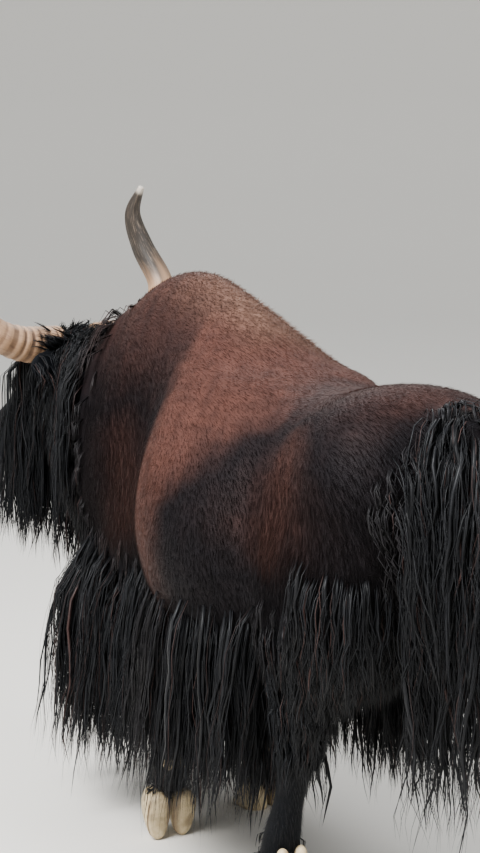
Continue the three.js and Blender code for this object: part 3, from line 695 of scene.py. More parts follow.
def nearest_region(places):
    """The index in REGIONS of the tube that each point lies on: the one with the least share."""
    shares = np.stack([places[name][2] for name in REGIONS], -1)
    shares[:, REGIONS.index("neck")] *= 1.02
    return shares.argmin(-1)


def map_points(places, region):
    """Bake-map coordinates: angle round across the region's cell, place along up it."""
    uv = np.zeros((len(region), 2))
    for i, name in enumerate(REGIONS):
        left, low, wide, tall = CELLS[name]
        t, turn, _ = places[name]
        across = left + wide * (0.06 + 0.88 * (turn + 0.5))
        up = low + tall * (0.04 + 0.92 * np.clip(t, 0, 1))
        uv = np.where((region == i)[:, None], np.stack([across, up], -1), uv)
    return uv


def tones(points):
    """The coat's markings at points: shares of rufous brown and of buff, from 0 to 1.

    Brown covers the hump, a band along the front of the ribs that leans back towards the spine, the line of
    the back, the shoulders and the front of the haunches. The rib band is partly the coat's rufous and partly
    a painted highlight where the sun falls on the ribs. Buff lies over the rear slope of the hump, partly
    pale frizz and partly a painted highlight of sunlight there. The rest is near black, and in the hollow
    between the ribs and the haunch this black is partly a painted shade.
    """
    x, y, z = points.T
    y = y + 60 * waves(points, 420, 3) + 16 * waves(points, 130, 13)
    z = z + 45 * waves(points, 360, 6) + 14 * waves(points, 110, 16)
    fine = waves(points, 55, 4)
    hump = smooth(1000, 1230, z) * smooth(-470, -300, y) * smooth(480, 220, y)
    top = smooth(1200, 1320, z)
    lean = 100 * smooth(850, 1000, z) + 110 * smooth(1000, 1120, z)
    # Painted highlight: the rib band is partly the coat's rufous and partly sunlight on the front of the
    # ribs.
    ribs = smooth(70, 165, y) * smooth(430, 170, y - lean) * smooth(560, 700, z)
    spine = np.exp(-((x / 170) ** 2)) * smooth(980, 1120, z) * smooth(260, 440, y) * smooth(1000, 880, y)
    haunch = np.exp(-(((y - 690) / 120) ** 2)) * smooth(760, 900, z) * smooth(1090, 960, z)
    shoulder = np.exp(-(((y + 30) / 190) ** 2)) * smooth(640, 820, z) * smooth(1080, 920, z)
    # The painted highlight on the rib band grows brighter towards the top.
    ribs = ribs * (0.62 + 0.38 * smooth(640, 860, z))
    hump = 0.42 * hump + 0.4 * hump * top
    # Behind the rib band the coat stays near black, partly a painted shade of the hollow before the haunch.
    brown = np.maximum.reduce([hump, ribs, 0.5 * spine, 0.5 * haunch, 0.42 * shoulder])
    torso = smooth(560, 680, z) * smooth(-480, -360, y)
    brown = 0.06 * torso + 0.94 * brown
    # Painted highlight: the buff on the hump's rear slope is partly pale frizz and partly sunlight falling
    # there.
    slope = np.exp(-(((y - 150 + 0.4 * x) / 190) ** 2)) * smooth(1110, 1250, z) * smooth(130, -10, x)
    buff = np.clip(slope * (0.88 + 0.2 * fine), 0, 1)
    return np.clip(brown * (0.94 + 0.16 * fine), 0, 1), buff


class Skin:
    """The body as arrays, filled by build_skin.

    vertices and normals are those of the coat's surface, inner the vertices of the bare skin under it, region
    the tube that each vertex belongs to, places its place on every tube, and uv its place in the bake map.
    """

    vertices = triangles = normals = region = places = inner = uv = None


def trunk_solid():
    """Torso, neck, tail and legs fused, with muscle and bone raised along the normals."""
    parts = [
        torso_grid(),
        limb_grid(NECK, 72, 60, (0.12, 0.14)),
        limb_grid(TAIL, 40, 60, (0.1, 0.1)),
    ]
    u, v = grid(56, 40)
    ring = np.sin(np.pi * v)
    angle = 2 * np.pi * u
    brisket = np.stack([ring * np.cos(angle), ring * np.sin(angle), np.cos(np.pi * v)], -1)
    parts.append(brisket * [BRISKET[3], BRISKET[4], BRISKET[5]] + BRISKET[:3])
    for foot, side in SIDE_OF.items():
        parts.append(limb_grid(mirrored(UPPER[foot], side), 56, 60, (0.14, 0.05)))
        parts.append(limb_grid(mirrored(LOWER[foot], side), 48, 60, (0.05, 0.06)))
    vertices, triangles = fused([closed_mesh(p) for p in parts], TRUNK_GRAIN, 9)
    _, y, z = vertices.T
    weight = smooth(500, 640, z) * np.maximum(smooth(-640, -560, y) * smooth(1010, 960, y), 0.15)
    weight = np.maximum(weight, 0.14 * smooth(300, 360, z))
    vertices = relaxed(vertices, triangles, weight, 34)
    normals = normals_of(vertices, triangles)
    lift = 2.0 * weight
    for side in (1, -1):
        for x, y, z, wide, deep, tall, height in BULGES:
            away = (vertices - [side * x, y, z]) / [wide, deep, tall]
            lift += height * np.exp(-(away**2).sum(-1) * 1.6)
    return vertices + normals * lift[:, None], triangles


def lid_ring(side, around=40, tube=14):
    """The lids' rim: a ring of oval section round the eye's opening, thicker above, drawn to the corners."""
    a, v = np.meshgrid(np.arange(tube) / tube * 2 * np.pi, np.arange(around) / around * 2 * np.pi)
    eye_f, eye_l, eye_u = EYE
    thick = LID_THICKNESS[0] + LID_THICKNESS[1] * np.maximum(0, np.sin(v))
    along_f = (LID_HALF[0] + thick * np.cos(a)) * np.cos(v)
    up = (LID_HALF[1] + thick * np.cos(a)) * np.sin(v)
    out = eye_l + LID_OUT[0] - LID_OUT[1] * np.cos(v) ** 2 + thick * np.sin(a)
    points = head_at(eye_f + along_f, side * out, eye_u + up - LID_SLANT * along_f)
    row, col = np.meshgrid(np.arange(around), np.arange(tube), indexing="ij")
    nxt, more = (row + 1) % around, (col + 1) % tube
    p, q, r, t = row * tube + col, row * tube + more, nxt * tube + more, nxt * tube + col
    corners = np.stack([p, q, r], -1), np.stack([p, r, t], -1)
    faces = np.concatenate([c.reshape(-1, 3) for c in corners])
    return points.reshape(-1, 3), faces if side > 0 else faces[:, ::-1]


def head_solid():
    """Skull, brows, lids, nostril wings, lips and chin fused, with nostrils, mouth and eye openings cut."""
    eye_f, eye_l, eye_u = EYE
    balls = [skull_grid()]
    cuts = []
    for s in (1, -1):
        ear = {"yaw": s * EAR_YAW, "pitch": EAR_PITCH, "around": 40, "steps": 40}
        # Round the eye, the brow, the ridge of the cheek, the nostril's wing, the upper lip and the ear.
        balls += [
            head_ball(eye_f, s * (eye_l - 3), eye_u, (34, 24, 29)),
            head_ball(eye_f - 6, s * (eye_l - 6), eye_u + 24, (44, 20, 14), pitch=6),
            head_ball(eye_f + 60, s * 78, -112, (90, 16, 15), pitch=10),
            head_ball(478, s * 46, -76, (34, 26, 25), yaw=s * 14),
            head_ball(448, s * 48, -120, (50, 31, 22)),
            head_ball(-42, s * 164, -100, (98, 19, 44), **ear),
        ]
        # The eye's opening, the nostril, the side of the mouth and the ear's bowl.
        cuts += [
            head_ball(eye_f, s * (eye_l + 21), eye_u, (22, 16, 12), pitch=8),
            head_ball(507, s * 47, -80, (22, 15, 11), yaw=s * 28, pitch=24),
            head_ball(436, s * 74, -132, (92, 22, 4.6), pitch=4, yaw=s * -4),
            head_ball(-25, s * 174, -102, (78, 14, 33), **ear),
        ]
    # The chin, the front of the mouth and the groove of the upper lip.
    balls.append(head_ball(462, 0, -150, (44, 54, 24), pitch=-4))
    cuts.append(head_ball(516, 0, -134, (30, 78, 4.6)))
    cuts.append(head_ball(526, 0, -98, (14, 2.5, 34)))
    whole = fused([closed_mesh(p) for p in balls], HEAD_GRAIN, 5)
    whole = combined(whole, joined([closed_mesh(p) for p in cuts]), "DIFFERENCE")
    vertices, triangles = fused([whole, lid_ring(1), lid_ring(-1)], LID_GRAIN, 3)
    return relaxed(vertices, triangles, np.full(len(vertices), 0.6), 3), triangles


def build_skin():
    """Fills Skin: trunk and head as one closed surface, and the same drawn in by the depth of the coat."""
    vertices, triangles = combined(trunk_solid(), head_solid(), "UNION")
    Skin.vertices, Skin.triangles = vertices, triangles
    Skin.normals = normals_of(vertices, triangles)
    Skin.places = region_places(vertices)
    Skin.region = nearest_region(Skin.places)
    Skin.uv = map_points(Skin.places, Skin.region)
    sizes, _ = settings()
    depth = np.full(len(vertices), sizes.coat_depth / MM)
    depth = np.where(vertices[:, 2] < 420, 4.0, depth)
    f, l, _ = head_local(vertices)
    thin = np.maximum(smooth(-140, 20, f), smooth(100, 125, np.abs(l)) * in_region("head"))
    depth = mix(depth, 2.0, thin * in_region("head", "neck"))
    Skin.inner = vertices - Skin.normals * depth[:, None]


def add_node(tree, kind, settings=None, inputs=None):
    """Adds a node: its settings by name, and its inputs by name or number, as values or as sockets."""
    node = tree.nodes.new(kind)
    for name, value in (settings or {}).items():
        setattr(node, name, value)
    for name, value in (inputs or {}).items():
        if isinstance(value, bpy.types.NodeSocket):
            tree.links.new(value, node.inputs[name])
        else:
            node.inputs[name].default_value = value
    return node


def new_material(name):
    """A material with only a Principled shader and its output. Returns it, its node tree and the shader."""
    material = bpy.data.materials.new(name)
    material.use_nodes = True
    tree = material.node_tree
    tree.nodes.clear()
    shader = add_node(tree, "ShaderNodeBsdfPrincipled")
    add_node(tree, "ShaderNodeOutputMaterial", inputs={"Surface": shader.outputs[0]})
    return material, tree, shader


def mixed(tree, factor, a, b, blend="MIX"):
    """A colour mix: factor, first and second colour, each a value or a socket. Returns the colour socket."""
    kinds = {"data_type": "RGBA", "blend_type": blend}
    return add_node(tree, "ShaderNodeMix", kinds, {0: factor, 6: a, 7: b}).outputs[2]


def ramp(tree, value, low, high, most=1.0):
    """An S-shaped rise from 0 at low to `most` at high. Returns its socket."""
    inputs = {0: value, 1: low, 2: high, 4: most}
    return add_node(tree, "ShaderNodeMapRange", {"interpolation_type": "SMOOTHSTEP"}, inputs).outputs[0]


def noise(tree, place, scale, detail, roughness=0.5):
    """Cloudy noise from 0 to 1 at a place. Returns its socket."""
    inputs = {"Vector": place, "Scale": scale, "Detail": detail, "Roughness": roughness}
    return add_node(tree, "ShaderNodeTexNoise", inputs=inputs).outputs[0]


def product(tree, a, b):
    """The product of two values or sockets. Returns its socket."""
    return add_node(tree, "ShaderNodeMath", {"operation": "MULTIPLY"}, {0: a, 1: b}).outputs[0]


def read_attribute(tree, name):
    """The node that reads a named attribute of the mesh."""
    return add_node(tree, "ShaderNodeAttribute", {"attribute_name": name})


def roughen(tree, shader, height, strength, distance):
    """Gives the shader fine relief from a height socket."""
    inputs = {"Height": height, "Strength": strength, "Distance": distance}
    relief = add_node(tree, "ShaderNodeBump", inputs=inputs)
    tree.links.new(relief.outputs[0], shader.inputs["Normal"])


def hair_material(name, gloss=0.36, bare=False):
    """Yak hair: black, rufous or buff by the markings, each hair lighter or darker than its neighbour.

    bare is for the skin itself, which shows the muzzle's colour where no hair grows and has a hairy relief.
    """
    _, colours = settings()
    material, tree, shader = new_material(name)
    coat = read_attribute(tree, "coat")
    split = add_node(tree, "ShaderNodeSeparateColor", inputs={0: coat.outputs["Color"]})
    brown, buff, shade = split.outputs[0], split.outputs[1], split.outputs[2]
    colour = mixed(tree, brown, tuple(colours.black), tuple(colours.rufous))
    colour = mixed(tree, buff, colour, tuple(colours.buff))
    darker = add_node(tree, "ShaderNodeMapRange", inputs={0: shade, 3: 0.45, 4: 1.5})
    colour = mixed(tree, 1.0, colour, darker.outputs[0], "MULTIPLY")
    if bare:
        colour = mixed(tree, coat.outputs["Alpha"], colour, tuple(colours.muzzle))
    tree.links.new(colour, shader.inputs["Base Color"])
    shader.inputs["Roughness"].default_value = 0.52
    shader.inputs["Specular IOR Level"].default_value = gloss
    shader.inputs["Sheen Weight"].default_value = 0.02
    shader.inputs["Sheen Roughness"].default_value = 0.4
    if bare:
        where = add_node(tree, "ShaderNodeTexCoord").outputs["Object"]
        # Short hairs about 2 mm apart that run back and down the body.
        lie = {0: where, "Rotation": (0.5, 0, 0), "Scale": (420, 60, 420)}
        hairs = noise(tree, add_node(tree, "ShaderNodeMapping", inputs=lie).outputs[0], 1.0, 3.0)
        roughen(tree, shader, hairs, 0.5, 0.004)
    return material


def put_values(mesh, name, kind, values):
    """Writes an attribute at the mesh's vertices; kind is FLOAT, FLOAT_VECTOR or FLOAT_COLOR."""
    field = {"FLOAT": "value", "FLOAT_VECTOR": "vector", "FLOAT_COLOR": "color"}[kind]
    attribute = mesh.attributes.new(name, kind, "POINT")
    attribute.data.foreach_set(field, values.astype(np.float32).ravel())


def put_map(mesh, corners):
    """Writes bake-map coordinates for every corner of every face."""
    layer = mesh.uv_layers.new(name="OFBake")
    layer.data.foreach_set("uv", corners.astype(np.float32).ravel())


def sample_skin(count, seed, weight):
    """Roots spread over the skin: triangles drawn by area times weight, and a random point in each.

    Returns points, unit normals, region indexes and map coordinates.
    """
    draw = np.random.default_rng(seed)
    p, q, r = (Skin.inner[Skin.triangles[:, k]] for k in range(3))
    area = np.linalg.norm(np.cross(q - p, r - p), axis=-1) / 2
    share = np.cumsum(area * weight[Skin.triangles].mean(-1))
    if share[-1] <= 0:
        raise ValueError("no part of the skin carries this coat")
    picks = np.searchsorted(share, (np.arange(count) + draw.uniform(0, 1, count)) / count * share[-1])
    picks = np.minimum(picks, len(share) - 1)
    a, b = draw.uniform(0, 1, (2, count))
    over = a + b > 1
    a, b = np.where(over, 1 - a, a)[:, None], np.where(over, 1 - b, b)[:, None]
    points = p[picks] * (1 - a - b) + q[picks] * a + r[picks] * b
    corner = Skin.triangles[picks]
    one, two, three = (Skin.normals[corner[:, k]] for k in range(3))
    normals = unit(one * (1 - a - b) + two * a + three * b)
    return points, normals, Skin.region[corner[:, 0]], Skin.uv[corner[:, 0]]


def lie_of(points, normals, region):
    """The way that the hair lies, along the skin.

    On the body it runs back, and more and more down towards the belly; on the legs, tail and neck it runs
    down; on the face it runs from the forehead to the muzzle and down the cheeks.
    """
    z = points[:, 2]
    down = np.array([0.0, 0.0, -1.0])
    back = np.array([0.0, 1.0, 0.0])
    steep = smooth(1250, 750, z)[:, None]
    way = back * (1 - 0.8 * steep) + down * (0.25 + 0.9 * steep)
    f, _, _ = head_local(points)
    on_head = (region == REGIONS.index("head"))[:, None]
    fore = smooth(60, 160, f)[:, None]
    face = HEAD_F * fore + (down * 0.7 + back * 0.3) * (1 - 0.6 * fore)
    way = np.where(on_head, face, way)
    on_neck = (region == REGIONS.index("neck"))[:, None]
    way = np.where(on_neck, down + 0.35 * back, way)
    on_limb = (region >= REGIONS.index("tail"))[:, None]
    way = np.where(on_limb, down + 0.12 * back, way)
    swirl = np.stack([waves(points, 300, 7), waves(points, 300, 8), waves(points, 300, 9)], -1)
    way = way + 0.18 * swirl
    return unit(way - normals * dot(way, normals))


def hair_paths(roots, normals, lie, length, steps, lift, hang, bend, curl, curl_size, seed):
    """Curves of hairs, as points (hairs, steps + 1, 3).

    Each leaves its root along the lie, raised by the lift angle, turns to `hang` over the share `bend` of its
    length, and waves from side to side.
    """
    draw = np.random.default_rng(seed)
    count = len(roots)
    lift = np.broadcast_to(lift, (count,))[:, None]
    first = lie * np.cos(lift) + normals * np.sin(lift)
    side = unit(np.cross(normals, lie))
    phase = draw.uniform(0, 2 * np.pi, (count, 1, 1))
    turns = draw.uniform(0.7, 1.3, (count, 1, 1)) * length[:, None, None] / curl_size
    s = (np.arange(steps) + 0.5)[None, :, None] / steps
    fall = smooth(0, 1, s / np.broadcast_to(bend, (count,))[:, None, None])
    way = unit(first[:, None] * (1 - fall) + hang[:, None] * fall)
    other = unit(np.cross(way, side[:, None]))
    reach = curl * np.minimum(1, 0.3 + s)
    way = unit(
        way
        + side[:, None] * reach * np.sin(2 * np.pi * turns * s + phase)
        + other * reach * 0.6 * np.sin(2 * np.pi * turns * 0.83 * s + 1.7 * phase)
    )
    steps_out = way * (length[:, None, None] / steps)
    start = roots - normals * LOCK_ROOT_DEPTH
    return np.concatenate([start[:, None], start[:, None] + np.cumsum(steps_out, 1)], 1)


def hair_mesh(name, paths, ways, face, width, thin, tone, uv, taper=0.8):
    """A mesh of thin hairs: a three-sided section carried along each path, drawn to a point at the tip.

    face is the direction that the flat side looks to, width the full width in mm of each hair, thin its
    thickness as a share of that, tone (hairs, 3) its brown, buff and shade. uv is the root's map place.
    """
    count, rings = ways.shape[:2]
    flat = unit(face[:, None] - ways * dot(face[:, None], ways))
    wide = unit(np.cross(ways, flat))
    s = np.arange(rings) / rings
    profile = np.minimum(1, 0.65 + 2 * s) * (1 - s**2.2) ** taper
    half = width[:, None] * 0.5 * profile
    corners = []
    for angle in (0.5 * np.pi, 1.1667 * np.pi, 1.8333 * np.pi):
        corners.append(
            paths[:, :-1]
            + wide * (half * math.cos(angle))[..., None]
            + flat * (half * thin * math.sin(angle))[..., None]
        )
    body = np.stack(corners, 2).reshape(count, rings * 3, 3)
    vertices = np.concatenate([body, paths[:, -1:]], 1)
    per = rings * 3 + 1
    k, j = np.meshgrid(np.arange(rings - 1), np.arange(3), indexing="ij")
    a, b = k * 3 + j, k * 3 + (j + 1) % 3
    c, d = a + 3, b + 3
    last = (rings - 1) * 3
    pattern = np.concatenate(
        [
            np.stack([a, b, d], -1).reshape(-1, 3),
            np.stack([a, d, c], -1).reshape(-1, 3),
            [[last, last + 1, per - 1], [last + 1, last + 2, per - 1], [last + 2, last, per - 1], [2, 1, 0]],
        ]
    )
    triangles = (pattern[None] + (np.arange(count) * per)[:, None, None]).reshape(-1, 3)
    piece = new_object(name, vertices.reshape(-1, 3), triangles)
    place = np.r_[np.repeat(s, 3), 1.0]
    values = np.empty((count, per, 4))
    values[..., :3] = tone[:, None]
    values[..., 3] = place
    put_values(piece.data, "coat", "FLOAT_COLOR", values)
    patch = np.stack([np.r_[np.tile([0, 0.5, 1], rings), 0.5] - 0.5, place - 0.5], -1) * MAP_PATCH
    spots = (uv[:, None] + patch).reshape(-1, 2)
    put_map(piece.data, spots[triangles.ravel()])
    return piece


def finish_piece(piece, material, nodes=()):
    """Gives a piece its material and its body, and hides the solids that it stands for."""
    piece.data.materials.append(material)
    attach(piece, BODY)
    if nodes:
        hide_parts(*nodes)


class YakSizes(bpy.types.PropertyGroup):
    """Sizes that change how the coat looks."""

    coat_depth: bpy.props.FloatProperty(
        name="Coat depth",
        description="How far the skin lies inside the short coat",
        default=0.010,
        unit="LENGTH",
    )
    hair_width: bpy.props.FloatProperty(
        name="Hair width",
        description="Width of the hairs as a share of the usual",
        default=1.0,
        min=0.1,
        subtype="FACTOR",
    )
    fullness: bpy.props.FloatProperty(
        name="Fullness",
        description="Share of the full number of hairs",
        default=1.0,
        min=0.05,
        max=1.0,
        subtype="FACTOR",
    )


def colour_property(name, description, value):
    """A colour property with a default from an sRGB hex value."""
    return bpy.props.FloatVectorProperty(
        name=name, description=description, subtype="COLOR", size=4, default=linear(value)
    )


class YakColours(bpy.types.PropertyGroup):
    """Colours of the coat, horns, hooves, muzzle and floor."""

    rufous: colour_property("Rufous", "Brown of the ribs and hump", "#5b3f38")
    # The buff is partly pale frizz and partly a painted highlight of sunlight on the hump.
    buff: colour_property("Buff", "Pale frizz on the hump", "#80665a")
    black: colour_property("Black", "Long hair of the flanks, head and tail", "#16181c")
    horn_pale: colour_property("Pale horn", "Cream horn near the base", "#a3866d")
    horn_dark: colour_property("Dark horn", "Grey-brown horn towards the tip", "#352f2a")
    hoof: colour_property("Hoof", "Cream hoof horn", "#e2d3b4")
    muzzle: colour_property("Muzzle", "Bare skin of the nose and inside the ears", "#4b403d")
    floor: colour_property("Floor", "Pale floor", "#dcd9d3")


def settings():
    """The scene's sizes and colours."""
    return bpy.context.scene.yak_sizes, bpy.context.scene.yak_colours


def in_region(*names):
    """1 at skin vertices of the named regions and 0 elsewhere."""
    return np.isin(Skin.region, [REGIONS.index(n) for n in names]).astype(float)


FLESH = [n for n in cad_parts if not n.startswith(("eye", "horn", "claw", "dewclaw"))]


def ear_hollow():
    """1 at skin vertices in the bare hollow behind each ear's root, and 0 elsewhere."""
    f, l, u = head_local(Skin.vertices)
    away = np.sqrt(((f + 38) / 34) ** 2 + ((np.abs(l) - 100) / 26) ** 2 + ((u + 78) / 30) ** 2)
    return in_region("head", "neck") * smooth(1.15, 0.75, away)


class YakSkin(bpy.types.Operator):
    """Makes the bare skin in one piece, with the coat's markings painted in its hair-like surface"""

    bl_idname = "yak.skin"
    bl_label = "Skin"

    def execute(self, context):
        build_skin()
        piece = new_object("skin", Skin.inner, Skin.triangles)
        # The markings carry painted highlights on the ribs and hump and a painted shade behind the ribs.
        brown, buff = tones(Skin.vertices)
        shade = 0.34 + 0.1 * waves(Skin.vertices, 40, 5)
        f, l, _ = head_local(Skin.vertices)
        head = in_region("head")
        nose = head * smooth(452, 478, f + 8 * waves(Skin.vertices, 40, 6))
        facing = smooth(0.0, 0.5, Skin.normals @ HEAD_F)
        ear = head * smooth(128, 142, np.abs(l)) * smooth(40, 20, f) * facing
        bare = np.maximum.reduce([nose, 0.7 * ear, ear_hollow()])
        brown = brown * (1 - head)
        put_values(piece.data, "coat", "FLOAT_COLOR", np.stack([brown, buff, shade, bare], -1))
        first = Skin.triangles[:, 0]
        corners = []
        for k in range(3):
            places = {n: [values[Skin.triangles[:, k]] for values in Skin.places[n]] for n in REGIONS}
            for n in REGIONS:
                turn = places[n][1]
                places[n][1] = turn - np.round(turn - Skin.places[n][1][first])
            corners.append(map_points(places, Skin.region[first]))
        put_map(piece.data, np.stack(corners, 1).reshape(-1, 2))
        finish_piece(piece, hair_material("short hair on hide", 0.1, True), FLESH)
        return {"FINISHED"}


def clear_of_body(points):
    """Points a little inside the torso, neck or legs, moved out sideways to just above the surface.

    Points deeper than BODY_PUSH in the torso or NECK_PUSH in the neck stay, for they would jump too far.
    """
    made = points.copy()
    x, y, z = made[..., 0], made[..., 1], made[..., 2]
    sign = np.where(x < 0, -1.0, 1.0)
    inside = (y > TORSO[0][0]) & (y < TORSO[-1][0])
    reach = np.where(inside, torso_side(y, z), 0) + CLEARANCE
    start, end = TORSO[0][0], TORSO[-1][0]
    length = end - start
    ends = np.minimum(cap((y - start) / length, TORSO_CAPS[0]), cap((end - y) / length, TORSO_CAPS[1]))
    reach *= np.where(inside, ends, 0)
    x = np.where(inside & (np.abs(x) < reach) & (np.abs(x) > reach - BODY_PUSH), sign * reach, x)
    rows = mm(NECK)[::-1][:, [2, 1, 3, 4, 5]]
    cx, cz, wide, tall = np.moveaxis(along(rows, y), -1, 0)
    inside = (y > rows[0, 0]) & (y < rows[-1, 0])
    reach = wide * np.sqrt(np.maximum(0, 1 - ((z - cz) / tall) ** 2)) + CLEARANCE
    share = np.abs(x - cx)
    inside &= (np.abs(z - cz) < tall) & (share < reach) & (share > reach - NECK_PUSH)
    x = np.where(inside, cx + sign * reach, x)
    made[..., 0] = x
    for foot in SIDE_OF:
        rows = leg_rows(foot)[::-1][:, [3, 1, 2, 4, 5]]
        cx, cy, wide, deep = np.moveaxis(along(rows, z), -1, 0)
        away = np.stack([made[..., 0] - cx, made[..., 1] - cy], -1)
        share = np.hypot(away[..., 0] / (wide + CLEARANCE), away[..., 1] / (deep + CLEARANCE))
        inside = (z > rows[0, 0]) & (z < rows[-1, 0]) & (share < 1)
        push = np.where(inside, 1 / np.maximum(share, 0.3), 1)
        made[..., 0] = cx + away[..., 0] * push
        made[..., 1] = cy + away[..., 1] * push
    return made


def hair_tones(points, draw, low, high, fade=1.0):
    """Tones of hairs: the body's markings, faded by a share, and a shade of its own for each hair."""
    # The markings carry painted highlights on the ribs and hump and a painted shade behind the ribs.
    brown, buff = tones(points)
    shade = np.clip(draw.uniform(low, high, len(points)) + 0.1 * waves(points, 90, 12), 0, 1)
    return np.stack([brown * fade, buff * fade, shade], -1)


def value_at(value, points):
    """One number for each point: from a function of the points, or the same number for all."""
    made = value(points) if callable(value) else value
    return np.broadcast_to(np.asarray(made, float), (len(points),))


def grow_tufts(name, material, seed, weight, count, length, width, lift, wild, low, high):
    """Short straight tufts: one thin spike each, four triangles.

    length, lift and wild are numbers, or functions of the roots; wild is how much the lie strays.
    """
    sizes, _ = settings()
    count = int(count * sizes.fullness)
    points, normals, region, uv = sample_skin(count, seed, weight)
    draw = np.random.default_rng(seed)
    length, lift, wild = (value_at(v, points) for v in (length, lift, wild))
    lie = lie_of(points, normals, region)
    lie = lie + wild[:, None] * draw.normal(0, 0.5, points.shape)
    lie = unit(lie - normals * dot(lie, normals))
    long = length * draw.uniform(0.75, 1.25, count)
    rise = np.radians(lift * draw.uniform(0.6, 1.4, count))[:, None]
    way = lie * np.cos(rise) + normals * np.sin(rise)
    start = points - normals * TUFT_ROOT_DEPTH
    paths = np.stack([start, start + way * long[:, None]], 1)
    tone = hair_tones(points, draw, low, high)
    wide = draw.uniform(0.75, 1.25, count) * width * sizes.hair_width
    piece = hair_mesh(name, paths, way[:, None], normals, wide, 0.35, tone, uv)
    finish_piece(piece, material)


def grow_locks(
    name,
    material,
    seed,
    weight,
    count,
    hairs,
    steps,
    length,
    out=0.0,
    hang=None,
    lift=35.0,
    bend=0.4,
    curl=0.25,
    curl_size=170.0,
    spread=12.0,
    width=3.0,
    low=0.2,
    high=0.52,
    pinch=0.6,
    fade=0.1,
    even=0.7,
):
    """Long hair in locks of `hairs` hairs, each with `steps` steps.

    length and out are numbers or functions of the roots: the length in mm, and how far the hang slants away
    from the body. hang is a function of roots and normals for other ways to fall. pinch draws the tips of a
    lock together, fade weakens the markings, and even is how alike the lengths in a lock are.
    """
    sizes, _ = settings()
    count = int(count * sizes.fullness)
    points, normals, region, uv = sample_skin(count, seed, weight)
    draw = np.random.default_rng(seed)
    long = value_at(length, points) * draw.uniform(0.5 + even / 2, 1.06, count)
    slant = value_at(out, points)
    if hang is None:
        level = normals * [1, 1, 0]
        fall = np.array([0, 0, -1.0]) + unit(level) * slant[:, None] + draw.normal(0, 0.05, (count, 3))
    else:
        fall = hang(points, normals) + draw.normal(0, 0.07, (count, 3))
    fall = unit(fall)
    lie = lie_of(points, normals, region)
    paths = hair_paths(
        points, normals, lie, long, steps, np.radians(lift), fall, bend, curl, curl_size, seed + 1
    )
    paths = np.concatenate([paths[:, :1], clear_of_body(paths[:, 1:])], 1)
    side = unit(np.cross(normals, lie))
    a = draw.normal(0, 1, (count, hairs, 1, 1))
    b = draw.normal(0, 1, (count, hairs, 1, 1))
    a[:, 0], b[:, 0] = 0, 0
    s = np.linspace(0, 1, steps + 1)[None, None, :, None]
    close = 1 - pinch * s**1.3
    stretch = draw.uniform(even, 1.05, (count, hairs, 1, 1))
    own = paths[:, None, :1] + (paths[:, None] - paths[:, None, :1]) * stretch
    phase = draw.uniform(0, 2 * np.pi, (count, hairs, 1, 1))
    stray = np.sin(2 * np.pi * 1.3 * s + phase) * s * spread * 0.55
    away = np.abs(b) * spread * 0.6 * close * np.minimum(1, 4 * s)
    own = own + side[:, None, None] * (a * spread * close + stray) + normals[:, None, None] * away
    # What swings wider than the coat's half width is drawn back by seven tenths.
    wide_by = np.maximum(0, np.abs(own[..., 0]) - COAT_HALF_WIDTH)
    own[..., 0] -= np.sign(own[..., 0]) * 0.7 * wide_by
    own = own.reshape(count * hairs, steps + 1, 3)
    way = unit(np.diff(own, axis=1))
    root = np.repeat(np.arange(count), hairs)
    face = unit(normals[root] + draw.normal(0, 0.3, (count * hairs, 3)))
    wide = width * draw.uniform(0.65, 1.35, count * hairs)
    # The first hair of each lock is broad, fills the space behind the others, and is darkened as painted
    # shade under them.
    under = np.arange(count * hairs) % hairs == 0
    wide[under] = spread * 0.85
    wide *= sizes.hair_width
    tone = hair_tones(points, draw, low, high, fade)[root]
    # Painted shade: the broad hair underneath each lock is made darker.
    tone[under, 2] -= 0.12
    bleached = draw.uniform(0, 1, len(root)) < 0.05
    tone[bleached, 0] = np.maximum(tone[bleached, 0], draw.uniform(0.2, 0.6, bleached.sum()))
    tone[:, 2] = np.clip(tone[:, 2] + draw.normal(0, 0.07, len(root)), 0.02, 1)
    piece = hair_mesh(name, own, way, face, wide, 0.4, tone, uv[root])
    finish_piece(piece, material)


def hem_height(y):
    """Height of the hem of the long coat at places along the body."""
    return SKIRT_HEM + along(HEM_RISE, y)[..., 0]


def sleek_zone(points):
    """1 where the coat is short (hump, ribs, back and haunches) and 0 where it is shaggy."""
    _, y, z = points.T
    wander = 22 * waves(points, 150, 21)
    above = smooth(600, 650, z + 0.5 * wander)
    shoulder = smooth(150, 90, y + wander) * smooth(760, 640, z + wander)
    haunch = smooth(560, 640, y + wander) * smooth(760, 640, z + wander - 0.28 * np.maximum(0, y - 700))
    front = smooth(-320, -440, y + 2 * wander)
    tail = smooth(955, 1010, y + wander) * smooth(1165, 1125, z)
    return above * (1 - shoulder) * (1 - haunch) * (1 - front) * (1 - tail)


def plush_length(points):
    """Length of the short coat: longest on the shoulders and thighs, shortest on the ribs and back."""
    _, y, z = points.T
    shoulder = smooth(150, 0, y) * smooth(1250, 1000, z)
    haunch = smooth(560, 700, y) * smooth(1080, 860, z)
    return PLUSH_LENGTH + 20 * shoulder + 22 * haunch


class YakShortCoat(bpy.types.Operator):
    """Covers the hump, ribs and croup with short sleek tufts that lie back along the body"""

    bl_idname = "yak.short_coat"
    bl_label = "Short coat"

    def execute(self, context):
        material = hair_material("sleek guard hair", 0.07)
        zone = in_region("torso", "hind_left", "hind_right") * np.maximum(0.04, sleek_zone(Skin.vertices))
        zone *= Skin.vertices[:, 2] > 600
        x = Skin.vertices[:, 0]
        for name, side, seed in (("coat_back_left", 1, 101), ("coat_back_right", -1, 102)):
            grow_tufts(
                name,
                material,
                seed,
                zone * (side * x > 0),
                34000,
                length=plush_length,
                width=3.2,
                lift=lambda p: 10 + 16 * tones(p)[1],
                wild=lambda p: 0.2 + 0.9 * tones(p)[1] + 0.012 * (plush_length(p) - PLUSH_LENGTH),
                low=0.3,
                high=0.54,
            )
        return {"FINISHED"}


